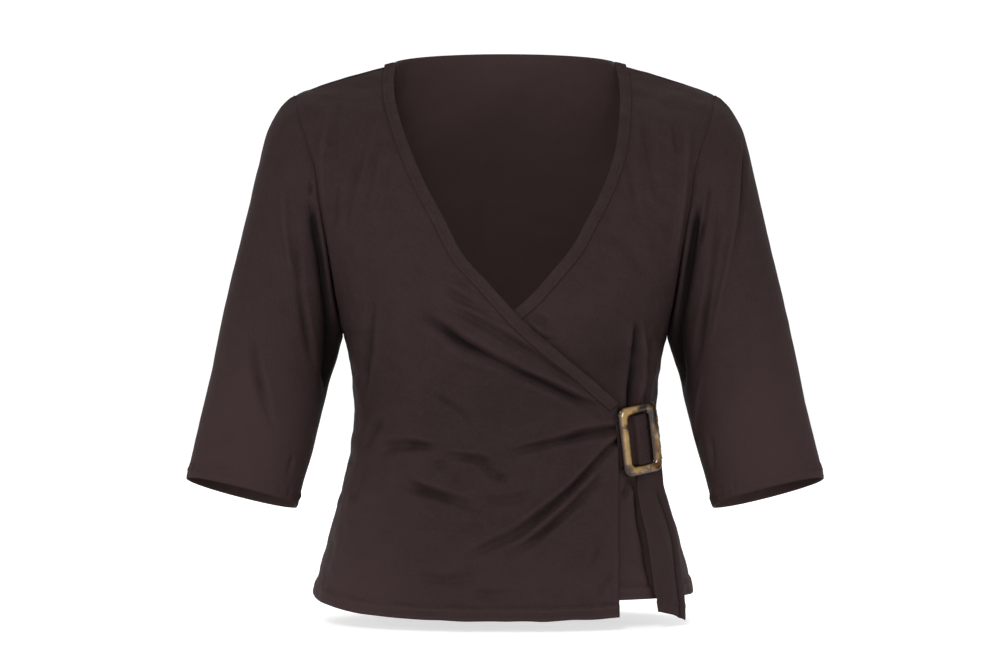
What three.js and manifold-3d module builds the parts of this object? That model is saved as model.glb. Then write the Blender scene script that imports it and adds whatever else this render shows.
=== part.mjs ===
// A wrap top: a jersey top whose right front crosses over the left one and is held by a buckle at the side.
// It keeps the form of a body that wears it, with nobody inside.
// Millimetres. +Z is up, the front faces -Y, and +X is the wearer's left.
// The origin is midway between the two points where the shoulder seams meet the neck.
import * as THREE from 'three';
import { mergeVertices } from 'three/addons/utils/BufferGeometryUtils.js';
import Module from 'manifold-3d';

// Cloth
const WALL = 1.2;
const SEAM_GAP = 0.4;
const ARMHOLE_GAP = 0.8;
const BINDING_GAP = 0.55;
const TURNED_HEM_RAISE = 0.8;
const CUFF_HEM_RAISE = 0.7;
const LAP_LIFT = 3.2;
const BINDING_WIDTH = 10;
const BINDING_THICKNESS = 1.0;
const BINDING_MOST_ACROSS = 0.14;

// Shoulders and neck
const SHOULDER_HALF_WIDTH = 201.6;
const NECK_HALF_WIDTH = 104.5;
const SHOULDER_CREST_HEIGHT = 11;
const SHOULDER_DROP = 41.6;
const NECK_POINT_DEPTH = 10;
const SHOULDER_TIP_DEPTH = 5;
const BACK_NECK_DEPTH = 73;
const BACK_NECK_HEIGHT = 15;

// Roundness of the body's cross-section: 2 is an ellipse, more is squarer
const BODY_ROUNDNESS = 2.3;

// Buckle: across is its width, up its height, out its thickness. The centre bar lies back from its face.
const BUCKLE_WIDTH = 46;
const BUCKLE_HEIGHT = 65;
const BUCKLE_THICKNESS = 5;
const BUCKLE_BEVEL = 1.2;
const BUCKLE_CORNER = 8;
const BUCKLE_SIDE_BAR = 10;
const BUCKLE_END_BAR = 9;
const BUCKLE_WINDOW_CORNER = 4;
const CENTRE_BAR = { width: 5, thickness: 2.4, out: -1, sunk: 1 };
const BUCKLE_CENTRE = { x: 125.3, y: -68.8, z: -358 };
const BUCKLE_YAW = 38;
const BUCKLE_ROLL = 8.5;

// The strap and the loop, as a line through the middle of the cloth in the buckle's own frame: [across, out]
const STRAP_THICKNESS = 1.0;
const STRAP_HEIGHT = 42;
const STRAP_LINE = [
  [-23.4, -4.9], [-19, -3.9], [-12, -3.3], [-8.5, -2.4], [-5.8, 0.6], [-4.0, 2.3], [0, 2.55], [4.0, 2.3],
  [5.8, 0.6], [8.5, -2.4], [12, -3.3], [22, -3.35], [27, -3.7],
];
const LOOP_HEIGHT = 28;
const LOOP_LINE = [
  [3.6, -0.9], [2.8, 1.0], [0, 1.15], [-2.8, 1.0], [-3.6, -0.9], [-2.9, -3.1], [0, -3.4], [4.5, -3.8],
  [9, -5.4], [22, -6.0], [30, -9.0], [41.2, -18.0], [50.6, -30.5], [57.0, -40.0],
];

// The strap's tail, in rows from behind the buckle to its end, by its left and right edge
const TAIL_BEHIND_BUCKLE = [
  { left: [-3, -17, -4.9], right: [27, -17, -5.2] },
  { left: [-4, -25, -4.2], right: [27, -25, -4.8] },
  { left: [-5.5, -34, -3.35], right: [26, -34, -4.0] },
];
const TAIL_BELOW_BUCKLE = [
  { left: [123.0, -73.8, -404], right: [149.0, -40, -404], bulge: 2.5 },
  { left: [126.0, -76.0, -422], right: [154.5, -36, -422], bulge: 4.2 },
  { left: [131.8, -80.8, -450], right: [161.5, -37, -449], bulge: 5 },
  { left: [135.2, -85.2, -476], right: [164.5, -50, -477], bulge: 4.8 },
  { left: [138.2, -88.0, -496], right: [166.8, -55, -500], bulge: 4.4 },
  { left: [139.6, -88.6, -504.5], right: [167.2, -56.5, -512], bulge: 4.2 },
  { left: [140.9, -88.8, -513], right: [167.4, -57.5, -524], bulge: 4 },
];
const TAIL_COLUMNS = 6;

const CLOTH_COLOUR = 0x37292a;
const BUCKLE_COLOUR = 0x8a6a42;

// The side seam by height, from the hem (0) to the underarm (0.52)
const SIDE_SEAM = [
  { at: 0.00, x: 178.0, y: 0, z: -502 },
  { at: 0.06, x: 171.5, y: 0, z: -474 },
  { at: 0.15, x: 160.0, y: 0, z: -433 },
  { at: 0.25, x: 147.0, y: 0, z: -385 },
  { at: 0.34, x: 142.5, y: 0, z: -344 },
  { at: 0.43, x: 145.0, y: 2, z: -301 },
  { at: 0.52, x: 153.0, y: 5, z: -258 },
];

// The armhole's edge on the front and on the back, from the underarm (0.52) to the shoulder seam (1)
const FRONT_ARMHOLE = [
  { at: 0.52, x: 153.0, y: 5, z: -258 },
  { at: 0.55, x: 155.0, y: -14, z: -250 },
  { at: 0.60, x: 159.0, y: -34, z: -228 },
  { at: 0.68, x: 165.5, y: -50, z: -183 },
  { at: 0.78, x: 173.5, y: -55, z: -133 },
  { at: 0.83, x: 177.0, y: -52, z: -108 },
  { at: 0.88, x: 184.0, y: -44, z: -85 },
  { at: 0.95, x: 197.0, y: -18, z: -49 },
  { at: 1.00, x: 201.6, y: 5, z: -30.6 },
];
const BACK_ARMHOLE = [
  { at: 0.52, x: 153.0, y: 5, z: -258 },
  { at: 0.55, x: 154.5, y: 20, z: -251 },
  { at: 0.60, x: 157.5, y: 38, z: -231 },
  { at: 0.68, x: 162.5, y: 54, z: -193 },
  { at: 0.78, x: 168.0, y: 61, z: -145 },
  { at: 0.83, x: 171.5, y: 60, z: -120 },
  { at: 0.88, x: 178.0, y: 55, z: -96 },
  { at: 0.95, x: 192.0, y: 34, z: -56 },
  { at: 1.00, x: 201.6, y: 5, z: -30.6 },
];

// The middle of the front and of the back: how far from the side seam's plane, and how high.
// sweep: the degrees of the section's quarter that the row spans from the middle to its side
const FRONT_MIDDLE = [
  { at: 0.00, depth: 120, z: -519, sweep: 90 },
  { at: 0.06, depth: 117, z: -489, sweep: 90 },
  { at: 0.15, depth: 110, z: -444, sweep: 90 },
  { at: 0.25, depth: 101, z: -392, sweep: 90 },
  { at: 0.34, depth: 98, z: -347, sweep: 90 },
  { at: 0.43, depth: 110, z: -301, sweep: 90 },
  { at: 0.52, depth: 125, z: -258, sweep: 90 },
  { at: 0.60, depth: 121, z: -215, sweep: 76 },
  { at: 0.68, depth: 107, z: -172, sweep: 66 },
  { at: 0.78, depth: 84, z: -120, sweep: 55 },
  { at: 0.83, depth: 68, z: -92, sweep: 48 },
  { at: 0.88, depth: 49, z: -64, sweep: 42 },
  { at: 0.95, depth: 12, z: -22, sweep: 35 },
  { at: 1.00, depth: -16, z: 11, sweep: 30 },
];
const BACK_MIDDLE = [
  { at: 0.00, depth: 110, z: -505, sweep: 90 },
  { at: 0.06, depth: 108, z: -478, sweep: 90 },
  { at: 0.15, depth: 100, z: -436, sweep: 90 },
  { at: 0.25, depth: 86, z: -388, sweep: 90 },
  { at: 0.34, depth: 76, z: -346, sweep: 90 },
  { at: 0.43, depth: 78, z: -302, sweep: 90 },
  { at: 0.52, depth: 84, z: -258, sweep: 90 },
  { at: 0.60, depth: 88, z: -215, sweep: 70 },
  { at: 0.68, depth: 89, z: -170, sweep: 58 },
  { at: 0.78, depth: 88, z: -115, sweep: 48 },
  { at: 0.83, depth: 86, z: -86, sweep: 45 },
  { at: 0.88, depth: 83, z: -57, sweep: 42 },
  { at: 0.95, depth: 77, z: -15, sweep: 36 },
  { at: 1.00, depth: 73, z: 15, sweep: 30 },
];

// Where the free edge of each front lies, seen from in front: x at a height z
const OUTER_EDGE = [
  [-530, 102.8], [-383, 102.9], [-325, 102.7], [-307, 86.8], [-275, 49.8], [-245, 14.3], [-212, -15.5],
  [-188, -37.4], [-154, -55.5], [-119, -74], [-86, -88.5], [-53, -100], [-33, -104.5], [-20, -105.6],
  [0, -104.5], [20, -103.5],
];
const UNDER_EDGE = [
  [-530, -230], [-400, -180], [-372, -146], [-349, -120], [-314, -80], [-238, 7.3], [-224, 23], [-202, 42.6],
  [-180, 60.6], [-154, 75], [-131, 87], [-110, 95.8], [-88, 102.4], [-61, 106.6], [-30.6, 108.6], [-14, 107.5],
  [0, 104.5], [20, 103.5],
];
const UNDER_EDGE_LIMIT = -0.945;
const UNDER_HEM_LESS = 0.036;
const UNDER_HEM_LESS_TOP = 0.35;
const LAP_START = 0.048;
// Over this distance in front of the under front's edge the outer front comes down to its own line again
const LAP_FADE = [-40, -6];
const BINDING_END_HEIGHT = -322;
const LAP_CROSSING_HEIGHT = -236;

// The right sleeve by length, from armhole (0) to cuff (1), seen from in front. out*, in*: its outer and inner
// outline. y, half: its middle and half its depth. tilt: how much lower it is for each mm further back
const SLEEVE_ROWS = [
  { at: 0.00, outX: -201.6, outZ: -30.6, inX: -153.0, inZ: -258.0, y: 3, half: 58, tilt: 0 },
  { at: 0.08, outX: -213.9, outZ: -42.9, inX: -154.6, inZ: -263.0, y: 1, half: 58, tilt: 0 },
  { at: 0.18, outX: -226.3, outZ: -67.7, inX: -157.0, inZ: -272.0, y: -2, half: 57, tilt: 0.01 },
  { at: 0.30, outX: -234.6, outZ: -102.8, inX: -160.3, inZ: -284.0, y: -5, half: 56, tilt: 0.02 },
  { at: 0.42, outX: -242.8, outZ: -139.8, inX: -164.5, inZ: -298.2, y: -9, half: 54, tilt: 0.04 },
  { at: 0.54, outX: -253.1, outZ: -185.3, inX: -169.5, inZ: -319.0, y: -14, half: 52, tilt: 0.07 },
  { at: 0.65, outX: -262.4, outZ: -226.1, inX: -174.5, inZ: -340.0, y: -19, half: 50, tilt: 0.10 },
  { at: 0.75, outX: -269.8, outZ: -263.2, inX: -179.0, inZ: -358.0, y: -24, half: 47.5, tilt: 0.13 },
  { at: 0.84, outX: -276.8, outZ: -298.3, inX: -184.0, inZ: -378.0, y: -28, half: 45, tilt: 0.16 },
  { at: 0.92, outX: -289.2, outZ: -353.9, inX: -189.0, inZ: -396.0, y: -32, half: 43, tilt: 0.18 },
  { at: 0.98, outX: -296.7, outZ: -386.3, inX: -192.8, inZ: -412.0, y: -35, half: 42, tilt: 0.19 },
  { at: 1.00, outX: -298.5, outZ: -394.1, inX: -194.8, inZ: -419.8, y: -35, half: 42, tilt: 0.194 },
];
const SLEEVE_STEPS = [0, 0.05, 0.11, 0.18, 0.27, 0.37, 0.47, 0.57, 0.67, 0.77, 0.86, 0.93, 0.972, 0.98, 1];
const SLEEVE_ROUNDNESS = 2.15;
const ARMHOLE_BLEND = 0.4;
const CUFF_HEM_START = 0.976;

// The deepest creases of the fronts, seen from in front: a path of [x, z], how deep and how wide
const CREASES = [
  { depth: 3.0, width: 12, path: [[-79, -237], [-35, -269], [34, -301], [64, -316], [99, -331]] },
  { depth: 2.2, width: 9, path: [[-3, -366], [25, -361], [51, -355], [99, -346]] },
  { depth: 1.8, width: 10, path: [[-96, -391], [-76, -395], [-35, -413], [-15, -423]] },
  { depth: 3.0, width: 12, path: [[-35, -462], [15, -433], [41, -413], [76, -375], [100, -352]] },
  { depth: 2.0, width: 9, path: [[10, -453], [33, -441], [74, -407], [91, -390]] },
  { depth: 3.4, width: 8, path: [[119, -255], [118, -290], [117, -325]] },
];
const CREASE_END_FADE = 14;

// Rows and columns of the panels' grids
const HEM_ROWS = [0, 0.0245, 0.0275];
const ROWS_BELOW_UNDERARM = 15;
const ROWS_ABOVE_UNDERARM = 14;
const UNDERARM = 0.52;
const NECK_ROWS = [0.9885, 1];
const OUTER_COLUMNS = 21;
const UNDER_COLUMNS = 18;
const BACK_NECK_COLUMNS = 12;
const BACK_SHOULDER_COLUMNS = 6;

const radians = (degrees) => (degrees * Math.PI) / 180;
const lerp = (a, b, k) => a + (b - a) * k;
const clamp = (v, low, high) => Math.min(high, Math.max(low, v));

function smooth(low, high, v) {
  const k = clamp((v - low) / (high - low), 0, 1);
  return k * k * (3 - 2 * k);
}

// A smooth curve through points [place, value] that never swings past them
function curveThrough(points) {
  const places = points.map((p) => p[0]);
  const values = points.map((p) => p[1]);
  const slope = (i) => (values[i + 1] - values[i]) / (places[i + 1] - places[i]);
  const tangents = places.map((_, i) => {
    if (i === 0) return slope(0);
    if (i === places.length - 1) return slope(i - 1);
    const before = slope(i - 1);
    const after = slope(i);
    return before * after <= 0 ? 0 : (2 * before * after) / (before + after);
  });
  return (place) => {
    let i = 0;
    while (i < places.length - 2 && place > places[i + 1]) i += 1;
    const span = places[i + 1] - places[i];
    const k = clamp((place - places[i]) / span, 0, 1);
    const rise = (2 * k ** 3 - 3 * k ** 2 + 1) * values[i] + (3 * k ** 2 - 2 * k ** 3) * values[i + 1];
    const bend = (k ** 3 - 2 * k ** 2 + k) * tangents[i] + (k ** 3 - k ** 2) * tangents[i + 1];
    return rise + span * bend;
  };
}

// A function for each named column of a table, along its "at" column
function columnsOf(rows) {
  const columns = {};
  for (const name of Object.keys(rows[0])) {
    columns[name] = curveThrough(rows.map((row) => [row.at, row[name]]));
  }
  return columns;
}

const sideSeam = columnsOf(SIDE_SEAM);
const front = { facing: -1, armhole: columnsOf(FRONT_ARMHOLE), middle: columnsOf(FRONT_MIDDLE) };
const back = { facing: 1, armhole: columnsOf(BACK_ARMHOLE), middle: columnsOf(BACK_MIDDLE) };
const sleeve = columnsOf(SLEEVE_ROWS);
const outerEdge = curveThrough(OUTER_EDGE);
const underEdge = curveThrough(UNDER_EDGE);

const shoulderHeight = (x) => SHOULDER_CREST_HEIGHT - SHOULDER_DROP * (x / SHOULDER_HALF_WIDTH) ** 2;
const shoulderDepth = (x) => {
  const k = (SHOULDER_HALF_WIDTH - Math.abs(x)) / (SHOULDER_HALF_WIDTH - NECK_HALF_WIDTH);
  return lerp(SHOULDER_TIP_DEPTH, NECK_POINT_DEPTH, k);
};

// A point of the body's surface: across runs from the right side (-1) to the left side (1), up from 0 to 1
function bodyPoint(half, across, up) {
  const end = up <= UNDERARM ? sideSeam : half.armhole;
  const sweep = radians(half.middle.sweep(up));
  const angle = across * sweep;
  const power = 2 / BODY_ROUNDNESS;
  const wide = (Math.abs(Math.sin(angle)) / Math.sin(sweep)) ** power;
  const forward = (turn) => Math.max(Math.cos(turn), 0) ** power;
  const inward = (1 - forward(angle)) / (1 - forward(sweep));
  const x = Math.sign(across) * end.x(up) * wide;
  const y = lerp(half.facing * half.middle.depth(up), end.y(up), inward);
  const z = lerp(half.middle.z(up), end.z(up), across * across);
  return new THREE.Vector3(x, y, z);
}

// How much of a row takes the shoulder seam's or the neck's own line: none below the yoke, all at the top
const YOKE = 0.8;
const topShare = (up) => clamp((up - YOKE) / (1 - YOKE), 0, 1) ** 2;

function frontPoint(across, up) {
  const point = bodyPoint(front, across, up);
  const top = bodyPoint(front, across, 1);
  point.y += (shoulderDepth(top.x) - top.y) * topShare(up);
  point.z += (shoulderHeight(top.x) - top.z) * topShare(up);
  return point;
}

// The under front is cut a little shorter than the outer one, most in the middle
function shorterFrontPoint(across, up) {
  const less = UNDER_HEM_LESS * (1 - across * across) * (1 - smooth(0, UNDER_HEM_LESS_TOP, up));
  return frontPoint(across, up + less);
}

// The place across at which a row of the back meets the neck point
const backNeckAcross = (() => {
  let low = 0;
  let high = 1;
  for (let i = 0; i < 40; i += 1) {
    const middle = (low + high) / 2;
    if (bodyPoint(back, middle, 1).x < NECK_HALF_WIDTH) low = middle;
    else high = middle;
  }
  return low;
})();

function backTop(across) {
  const reach = Math.abs(across) / backNeckAcross;
  if (reach >= 1) {
    const x = bodyPoint(back, across, 1).x;
    return new THREE.Vector3(x, shoulderDepth(x), shoulderHeight(x));
  }
  const turn = (reach * Math.PI) / 2;
  return new THREE.Vector3(
    Math.sign(across) * NECK_HALF_WIDTH * Math.sin(turn),
    lerp(NECK_POINT_DEPTH, BACK_NECK_DEPTH, Math.cos(turn)),
    lerp(shoulderHeight(NECK_HALF_WIDTH), BACK_NECK_HEIGHT, Math.cos(turn)),
  );
}

function backPoint(across, up) {
  const point = bodyPoint(back, across, up);
  const row = bodyPoint(back, across, 1);
  return point.add(backTop(across).sub(row).multiplyScalar(topShare(up)));
}

// How far the creases pull the cloth in at a place seen from in front
function creaseDepth(x, z) {
  let total = 0;
  for (const crease of CREASES) {
    let nearest = Infinity;
    let fade = 1;
    crease.path.slice(1).forEach(([bx, bz], i) => {
      const [ax, az] = crease.path[i];
      const length = Math.hypot(bx - ax, bz - az);
      const along = clamp(((x - ax) * (bx - ax) + (z - az) * (bz - az)) / length, 0, length);
      const away = Math.hypot(x - lerp(ax, bx, along / length), z - lerp(az, bz, along / length));
      if (away >= nearest) return;
      nearest = away;
      fade = i === 0 ? smooth(0, CREASE_END_FADE, along) : 1;
    });
    total += crease.depth * fade * Math.exp(-((nearest / crease.width) ** 2));
  }
  return total;
}

// Normals of a grid of points, on the side that the rough direction points to
function gridNormals(points, rough, ringed = false) {
  const rows = points.length;
  const columns = points[0].length;
  const normals = points.map((row, i) => row.map((_, j) => {
    const up = points[Math.min(i + 1, rows - 1)][j].clone().sub(points[Math.max(i - 1, 0)][j]);
    const right = ringed ? row[(j + 1) % columns] : row[Math.min(j + 1, columns - 1)];
    const left = ringed ? row[(j + columns - 1) % columns] : row[Math.max(j - 1, 0)];
    return right.clone().sub(left).cross(up).normalize();
  }));
  const probe = normals[Math.floor(rows / 2)][Math.floor(columns / 2)];
  const sign = probe.dot(rough) < 0 ? -1 : 1;
  return normals.map((row) => row.map((n) => n.multiplyScalar(sign)));
}

const moved = (point, direction, distance) => point.clone().addScaledVector(direction, distance);

// A closed wall between two grids of points, ringed where each row closes on itself
function wallBetween(outer, inner, ringed = false) {
  const rows = outer.length;
  const columns = outer[0].length;
  const positions = [];
  for (const grid of [outer, inner]) {
    for (const row of grid) for (const point of row) positions.push(point.x, point.y, point.z);
  }
  const at = (layer, i, j) => layer * rows * columns + i * columns + (j % columns);
  const triangles = [];
  const quad = (a, b, c, d) => triangles.push(a, b, c, a, c, d);
  const spans = ringed ? columns : columns - 1;
  for (let i = 0; i < rows - 1; i += 1) {
    for (let j = 0; j < spans; j += 1) {
      quad(at(0, i, j), at(0, i, j + 1), at(0, i + 1, j + 1), at(0, i + 1, j));
      quad(at(1, i, j), at(1, i + 1, j), at(1, i + 1, j + 1), at(1, i, j + 1));
    }
  }
  for (let j = 0; j < spans; j += 1) {
    quad(at(0, 0, j), at(1, 0, j), at(1, 0, j + 1), at(0, 0, j + 1));
    quad(at(0, rows - 1, j), at(0, rows - 1, j + 1), at(1, rows - 1, j + 1), at(1, rows - 1, j));
  }
  if (!ringed) {
    const last = columns - 1;
    for (let i = 0; i < rows - 1; i += 1) {
      quad(at(0, i, 0), at(0, i + 1, 0), at(1, i + 1, 0), at(1, i, 0));
      quad(at(0, i, last), at(1, i, last), at(1, i + 1, last), at(0, i + 1, last));
    }
  }
  return closedGeometry(positions, triangles);
}

// A geometry from positions and triangles, turned so that its faces point out
function closedGeometry(positions, triangles) {
  const a = new THREE.Vector3();
  const b = new THREE.Vector3();
  const c = new THREE.Vector3();
  let volume = 0;
  for (let i = 0; i < triangles.length; i += 3) {
    a.fromArray(positions, triangles[i] * 3);
    b.fromArray(positions, triangles[i + 1] * 3);
    c.fromArray(positions, triangles[i + 2] * 3);
    volume += a.dot(b.cross(c));
  }
  if (volume < 0) triangles.reverse();
  const geometry = new THREE.BufferGeometry();
  geometry.setAttribute('position', new THREE.Float32BufferAttribute(positions, 3));
  geometry.setIndex(triangles);
  geometry.computeVertexNormals();
  return geometry;
}

const top = new THREE.Group();
const cloth = new THREE.MeshStandardMaterial({ color: CLOTH_COLOUR, roughness: 0.85, metalness: 0 });
const resin = new THREE.MeshStandardMaterial({ color: BUCKLE_COLOUR, roughness: 0.18, metalness: 0 });

function addPiece(name, geometry, material, parent = top) {
  const mesh = new THREE.Mesh(geometry, material.clone());
  mesh.name = name;
  parent.add(mesh);
}

// The heights of the rows, the same on every panel, so that seams meet point to point
const rowHeights = [...HEM_ROWS];
for (let i = 1; i <= ROWS_BELOW_UNDERARM; i += 1) {
  rowHeights.push(lerp(HEM_ROWS[2], UNDERARM, i / ROWS_BELOW_UNDERARM));
}
for (let i = 1; i <= ROWS_ABOVE_UNDERARM; i += 1) {
  const k = i / (ROWS_ABOVE_UNDERARM + 1);
  rowHeights.push(lerp(UNDERARM, 1, k));
}
rowHeights.push(...NECK_ROWS);
const underarmRow = HEM_ROWS.length + ROWS_BELOW_UNDERARM - 1;
const topRow = rowHeights.length - 1;

// The place across where a front's row meets its free edge, as seen from in front
function edgeAcross(surface, up, edge) {
  let low = -1;
  let high = 1;
  for (let i = 0; i < 40; i += 1) {
    const across = (low + high) / 2;
    const point = surface(across, up);
    if (point.x < edge(point.z)) low = across;
    else high = across;
  }
  return (low + high) / 2;
}

// How much of a row's "across" covers the given distance square to the free edge
function bindingAcross(surface, up, edge, distance) {
  const step = 0.004;
  const across = edgeAcross(surface, up, edge);
  const upLow = Math.max(up - step, 0);
  const upHigh = Math.min(up + step, 1);
  const below = surface(edgeAcross(surface, upLow, edge), upLow);
  const above = surface(edgeAcross(surface, upHigh, edge), upHigh);
  const tangent = above.sub(below).normalize();
  const row = surface(across + step, up).sub(surface(across - step, up));
  const perAcross = row.length() / (2 * step);
  const square = row.normalize().cross(tangent).length();
  return Math.min(distance / (perAcross * square), BINDING_MOST_ACROSS);
}

// The directions square to the shoulder and side seams
const shoulderUp = (x) => {
  const slope = (2 * SHOULDER_DROP * x) / SHOULDER_HALF_WIDTH ** 2;
  return new THREE.Vector3(slope, 0, 1).normalize();
};
const sideOut = (sign, up) => {
  const step = 0.01;
  const low = Math.max(up - step, 0);
  const high = Math.min(up + step, UNDERARM);
  const rise = sideSeam.z(high) - sideSeam.z(low);
  const spread = sideSeam.x(high) - sideSeam.x(low);
  return new THREE.Vector3(sign * rise, 0, -spread).normalize();
};

// The outer front: columns from the right side to its free edge, the last three under the binding
function outerFrontGrid() {
  return rowHeights.map((up) => {
    const edge = edgeAcross(frontPoint, up, outerEdge);
    const bound = bindingAcross(frontPoint, up, outerEdge, BINDING_WIDTH);
    const places = [-1];
    for (let j = 0; j < OUTER_COLUMNS; j += 1) {
      places.push(lerp(LAP_START - 1, edge - bound, j / OUTER_COLUMNS));
    }
    places.push(edge - bound, edge - bound / 2, edge);
    return places.map((across) => frontPoint(across, up));
  });
}

// The under front: columns from its free edge to the left side, the first three under the binding
function underFrontGrid() {
  return rowHeights.map((up) => {
    const edge = Math.max(edgeAcross(shorterFrontPoint, up, underEdge), UNDER_EDGE_LIMIT);
    const bound = bindingAcross(shorterFrontPoint, up, underEdge, BINDING_WIDTH);
    const places = [edge, edge + bound / 2];
    for (let j = 0; j <= UNDER_COLUMNS; j += 1) places.push(lerp(edge + bound, 1, j / UNDER_COLUMNS));
    return places.map((across) => shorterFrontPoint(across, up));
  });
}

function backGrid() {
  const places = [];
  for (let j = 0; j < BACK_SHOULDER_COLUMNS; j += 1) {
    places.push(lerp(-1, -backNeckAcross, j / BACK_SHOULDER_COLUMNS));
  }
  for (let j = 0; j < BACK_NECK_COLUMNS; j += 1) {
    places.push(lerp(-backNeckAcross, backNeckAcross, j / BACK_NECK_COLUMNS));
  }
  for (let j = 0; j <= BACK_SHOULDER_COLUMNS; j += 1) {
    places.push(lerp(backNeckAcross, 1, j / BACK_SHOULDER_COLUMNS));
  }
  return rowHeights.map((up) => places.map((across) => backPoint(across, up)));
}

// Moves a grid's points out for its creases, its lap over the other front and its turned hem
function shaped(grid, rough, { creased = false, lapped = false }) {
  const normals = gridNormals(grid, rough);
  return grid.map((row, i) => row.map((point, j) => {
    let out = i < 2 ? TURNED_HEM_RAISE : 0;
    if (creased) out -= creaseDepth(point.x, point.z);
    if (lapped && j > 0) out += LAP_LIFT * smooth(LAP_FADE[0], LAP_FADE[1], point.x - underEdge(point.z));
    return moved(point, normals[i][j], out);
  }));
}

// The directions in which a panel's wall lies. Along a seam they are the seam's own, on both panels.
function wallDirections(grid, rough, seams) {
  const normals = gridNormals(grid, rough);
  const last = grid[0].length - 1;
  for (let i = 0; i <= underarmRow; i += 1) {
    if (seams.right) normals[i][0] = sideOut(-1, rowHeights[i]);
    if (seams.left) normals[i][last] = sideOut(1, rowHeights[i]);
  }
  grid[topRow].forEach((point, j) => {
    if (Math.abs(point.x) >= NECK_HALF_WIDTH - 1) normals[topRow][j] = shoulderUp(point.x);
  });
  return normals;
}

// Draws a panel's sewn edges in by half the seam gap
function drawSeamsIn(grid, seams) {
  const last = grid[0].length - 1;
  const drawn = grid.map((row) => row.map((point) => point.clone()));
  const draw = (i, j, fromI, fromJ) => {
    const inward = grid[fromI][fromJ].clone().sub(grid[i][j]).normalize();
    drawn[i][j].addScaledVector(inward, SEAM_GAP / 2);
  };
  for (let i = 0; i <= topRow; i += 1) {
    if (seams.right) draw(i, 0, i, 1);
    if (seams.left) draw(i, last, i, last - 1);
  }
  grid[topRow].forEach((point, j) => {
    if (Math.abs(point.x) >= NECK_HALF_WIDTH - 1) draw(topRow, j, topRow - 1, j);
  });
  return drawn;
}

function inset(grid, directions, distance) {
  return grid.map((row, i) => row.map((point, j) => moved(point, directions[i][j], -distance)));
}

const forward = new THREE.Vector3(0, -1, 0);
const backward = new THREE.Vector3(0, 1, 0);

function makePanel(name, grid, rough, seams, shape) {
  const outer = drawSeamsIn(shaped(grid, rough, shape), seams);
  const directions = wallDirections(outer, rough, seams);
  addPiece(name, wallBetween(outer, inset(outer, directions, WALL)), cloth);
  return { outer, directions };
}

const outerFront = makePanel(
  'right_front', outerFrontGrid(), forward, { right: true, left: false }, { creased: true, lapped: true },
);
const underFront = makePanel(
  'left_front', underFrontGrid(), forward, { right: false, left: true }, { creased: true },
);
const backPanel = makePanel('back', backGrid(), backward, { right: true, left: true }, {});

// The bindings lie on the panels' own points, moved out
function addBinding(name, panel, rough, rows, columns) {
  const normals = gridNormals(panel.outer, rough);
  const strip = (distance) => rows.map((i) => columns.map((j) => (
    moved(panel.outer[i][j], normals[i][j], distance))));
  addPiece(name, wallBetween(strip(BINDING_GAP + BINDING_THICKNESS), strip(BINDING_GAP)), cloth);
}

const rowsWhere = (test) => rowHeights.map((_, i) => i).filter(test);
const outerLast = outerFront.outer[0].length - 1;
addBinding(
  'neck_band_right', outerFront, forward,
  rowsWhere((i) => outerFront.outer[i][outerLast].z > BINDING_END_HEIGHT),
  [outerLast - 2, outerLast - 1, outerLast],
);
addBinding(
  'neck_band_left', underFront, forward,
  rowsWhere((i) => underFront.outer[i][0].z > LAP_CROSSING_HEIGHT),
  [0, 1, 2],
);
const neckColumns = backPanel.outer[0].map((_, j) => j).slice(BACK_SHOULDER_COLUMNS, -BACK_SHOULDER_COLUMNS);
addBinding('neck_band_back', backPanel, backward, [topRow - 2, topRow - 1, topRow], neckColumns);

// A sleeve's own section at a place along it. turn goes once round: underarm, front, shoulder, back.
function sleevePoint(side, along, turn) {
  const power = 2 / SLEEVE_ROUNDNESS;
  const angle = turn * 2 * Math.PI;
  const shape = (v) => Math.sign(v) * Math.abs(v) ** power;
  const across = (1 - shape(Math.cos(angle))) / 2;
  const y = -sleeve.half(along) * shape(Math.sin(angle));
  const x = lerp(sleeve.inX(along), sleeve.outX(along), across);
  const z = lerp(sleeve.inZ(along), sleeve.outZ(along), across) - sleeve.tilt(along) * y;
  return new THREE.Vector3(-side * x, sleeve.y(along) + y, z);
}

// The sleeve starts from the armhole's own points and passes into its own section
function addSleeve(name, side, armhole, armholeOut) {
  const count = armhole.length;
  const grid = SLEEVE_STEPS.map((along) => armhole.map((seam, k) => {
    const own = sleevePoint(side, along, k / count);
    const astray = seam.clone().sub(sleevePoint(side, 0, k / count));
    return own.addScaledVector(astray, 1 - smooth(0, ARMHOLE_BLEND, along));
  }));
  const rough = new THREE.Vector3(0, -1, 0);
  const probe = gridNormals(grid, rough, true);
  const middle = Math.floor(grid.length / 2);
  const outward = grid[middle][Math.floor(count / 4)].clone().sub(grid[middle][Math.floor((3 * count) / 4)]);
  const turned = probe[middle][Math.floor(count / 4)].dot(outward) < 0 ? -1 : 1;
  const normals = probe.map((row) => row.map((n) => n.clone().multiplyScalar(turned)));
  const outer = grid.map((row, i) => row.map((point, k) => {
    if (i === 0) return moved(point, grid[1][k].clone().sub(point).normalize(), ARMHOLE_GAP);
    return moved(point, normals[i][k], SLEEVE_STEPS[i] > CUFF_HEM_START ? CUFF_HEM_RAISE : 0);
  }));
  const directions = normals.map((row, i) => row.map((own, k) => {
    if (i > 0) return own;
    const share = smooth(0, 0.5, own.dot(armholeOut[k]));
    return own.clone().lerp(armholeOut[k], share).normalize();
  }));
  addPiece(name, wallBetween(outer, inset(outer, directions, WALL), true), cloth);
}

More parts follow.
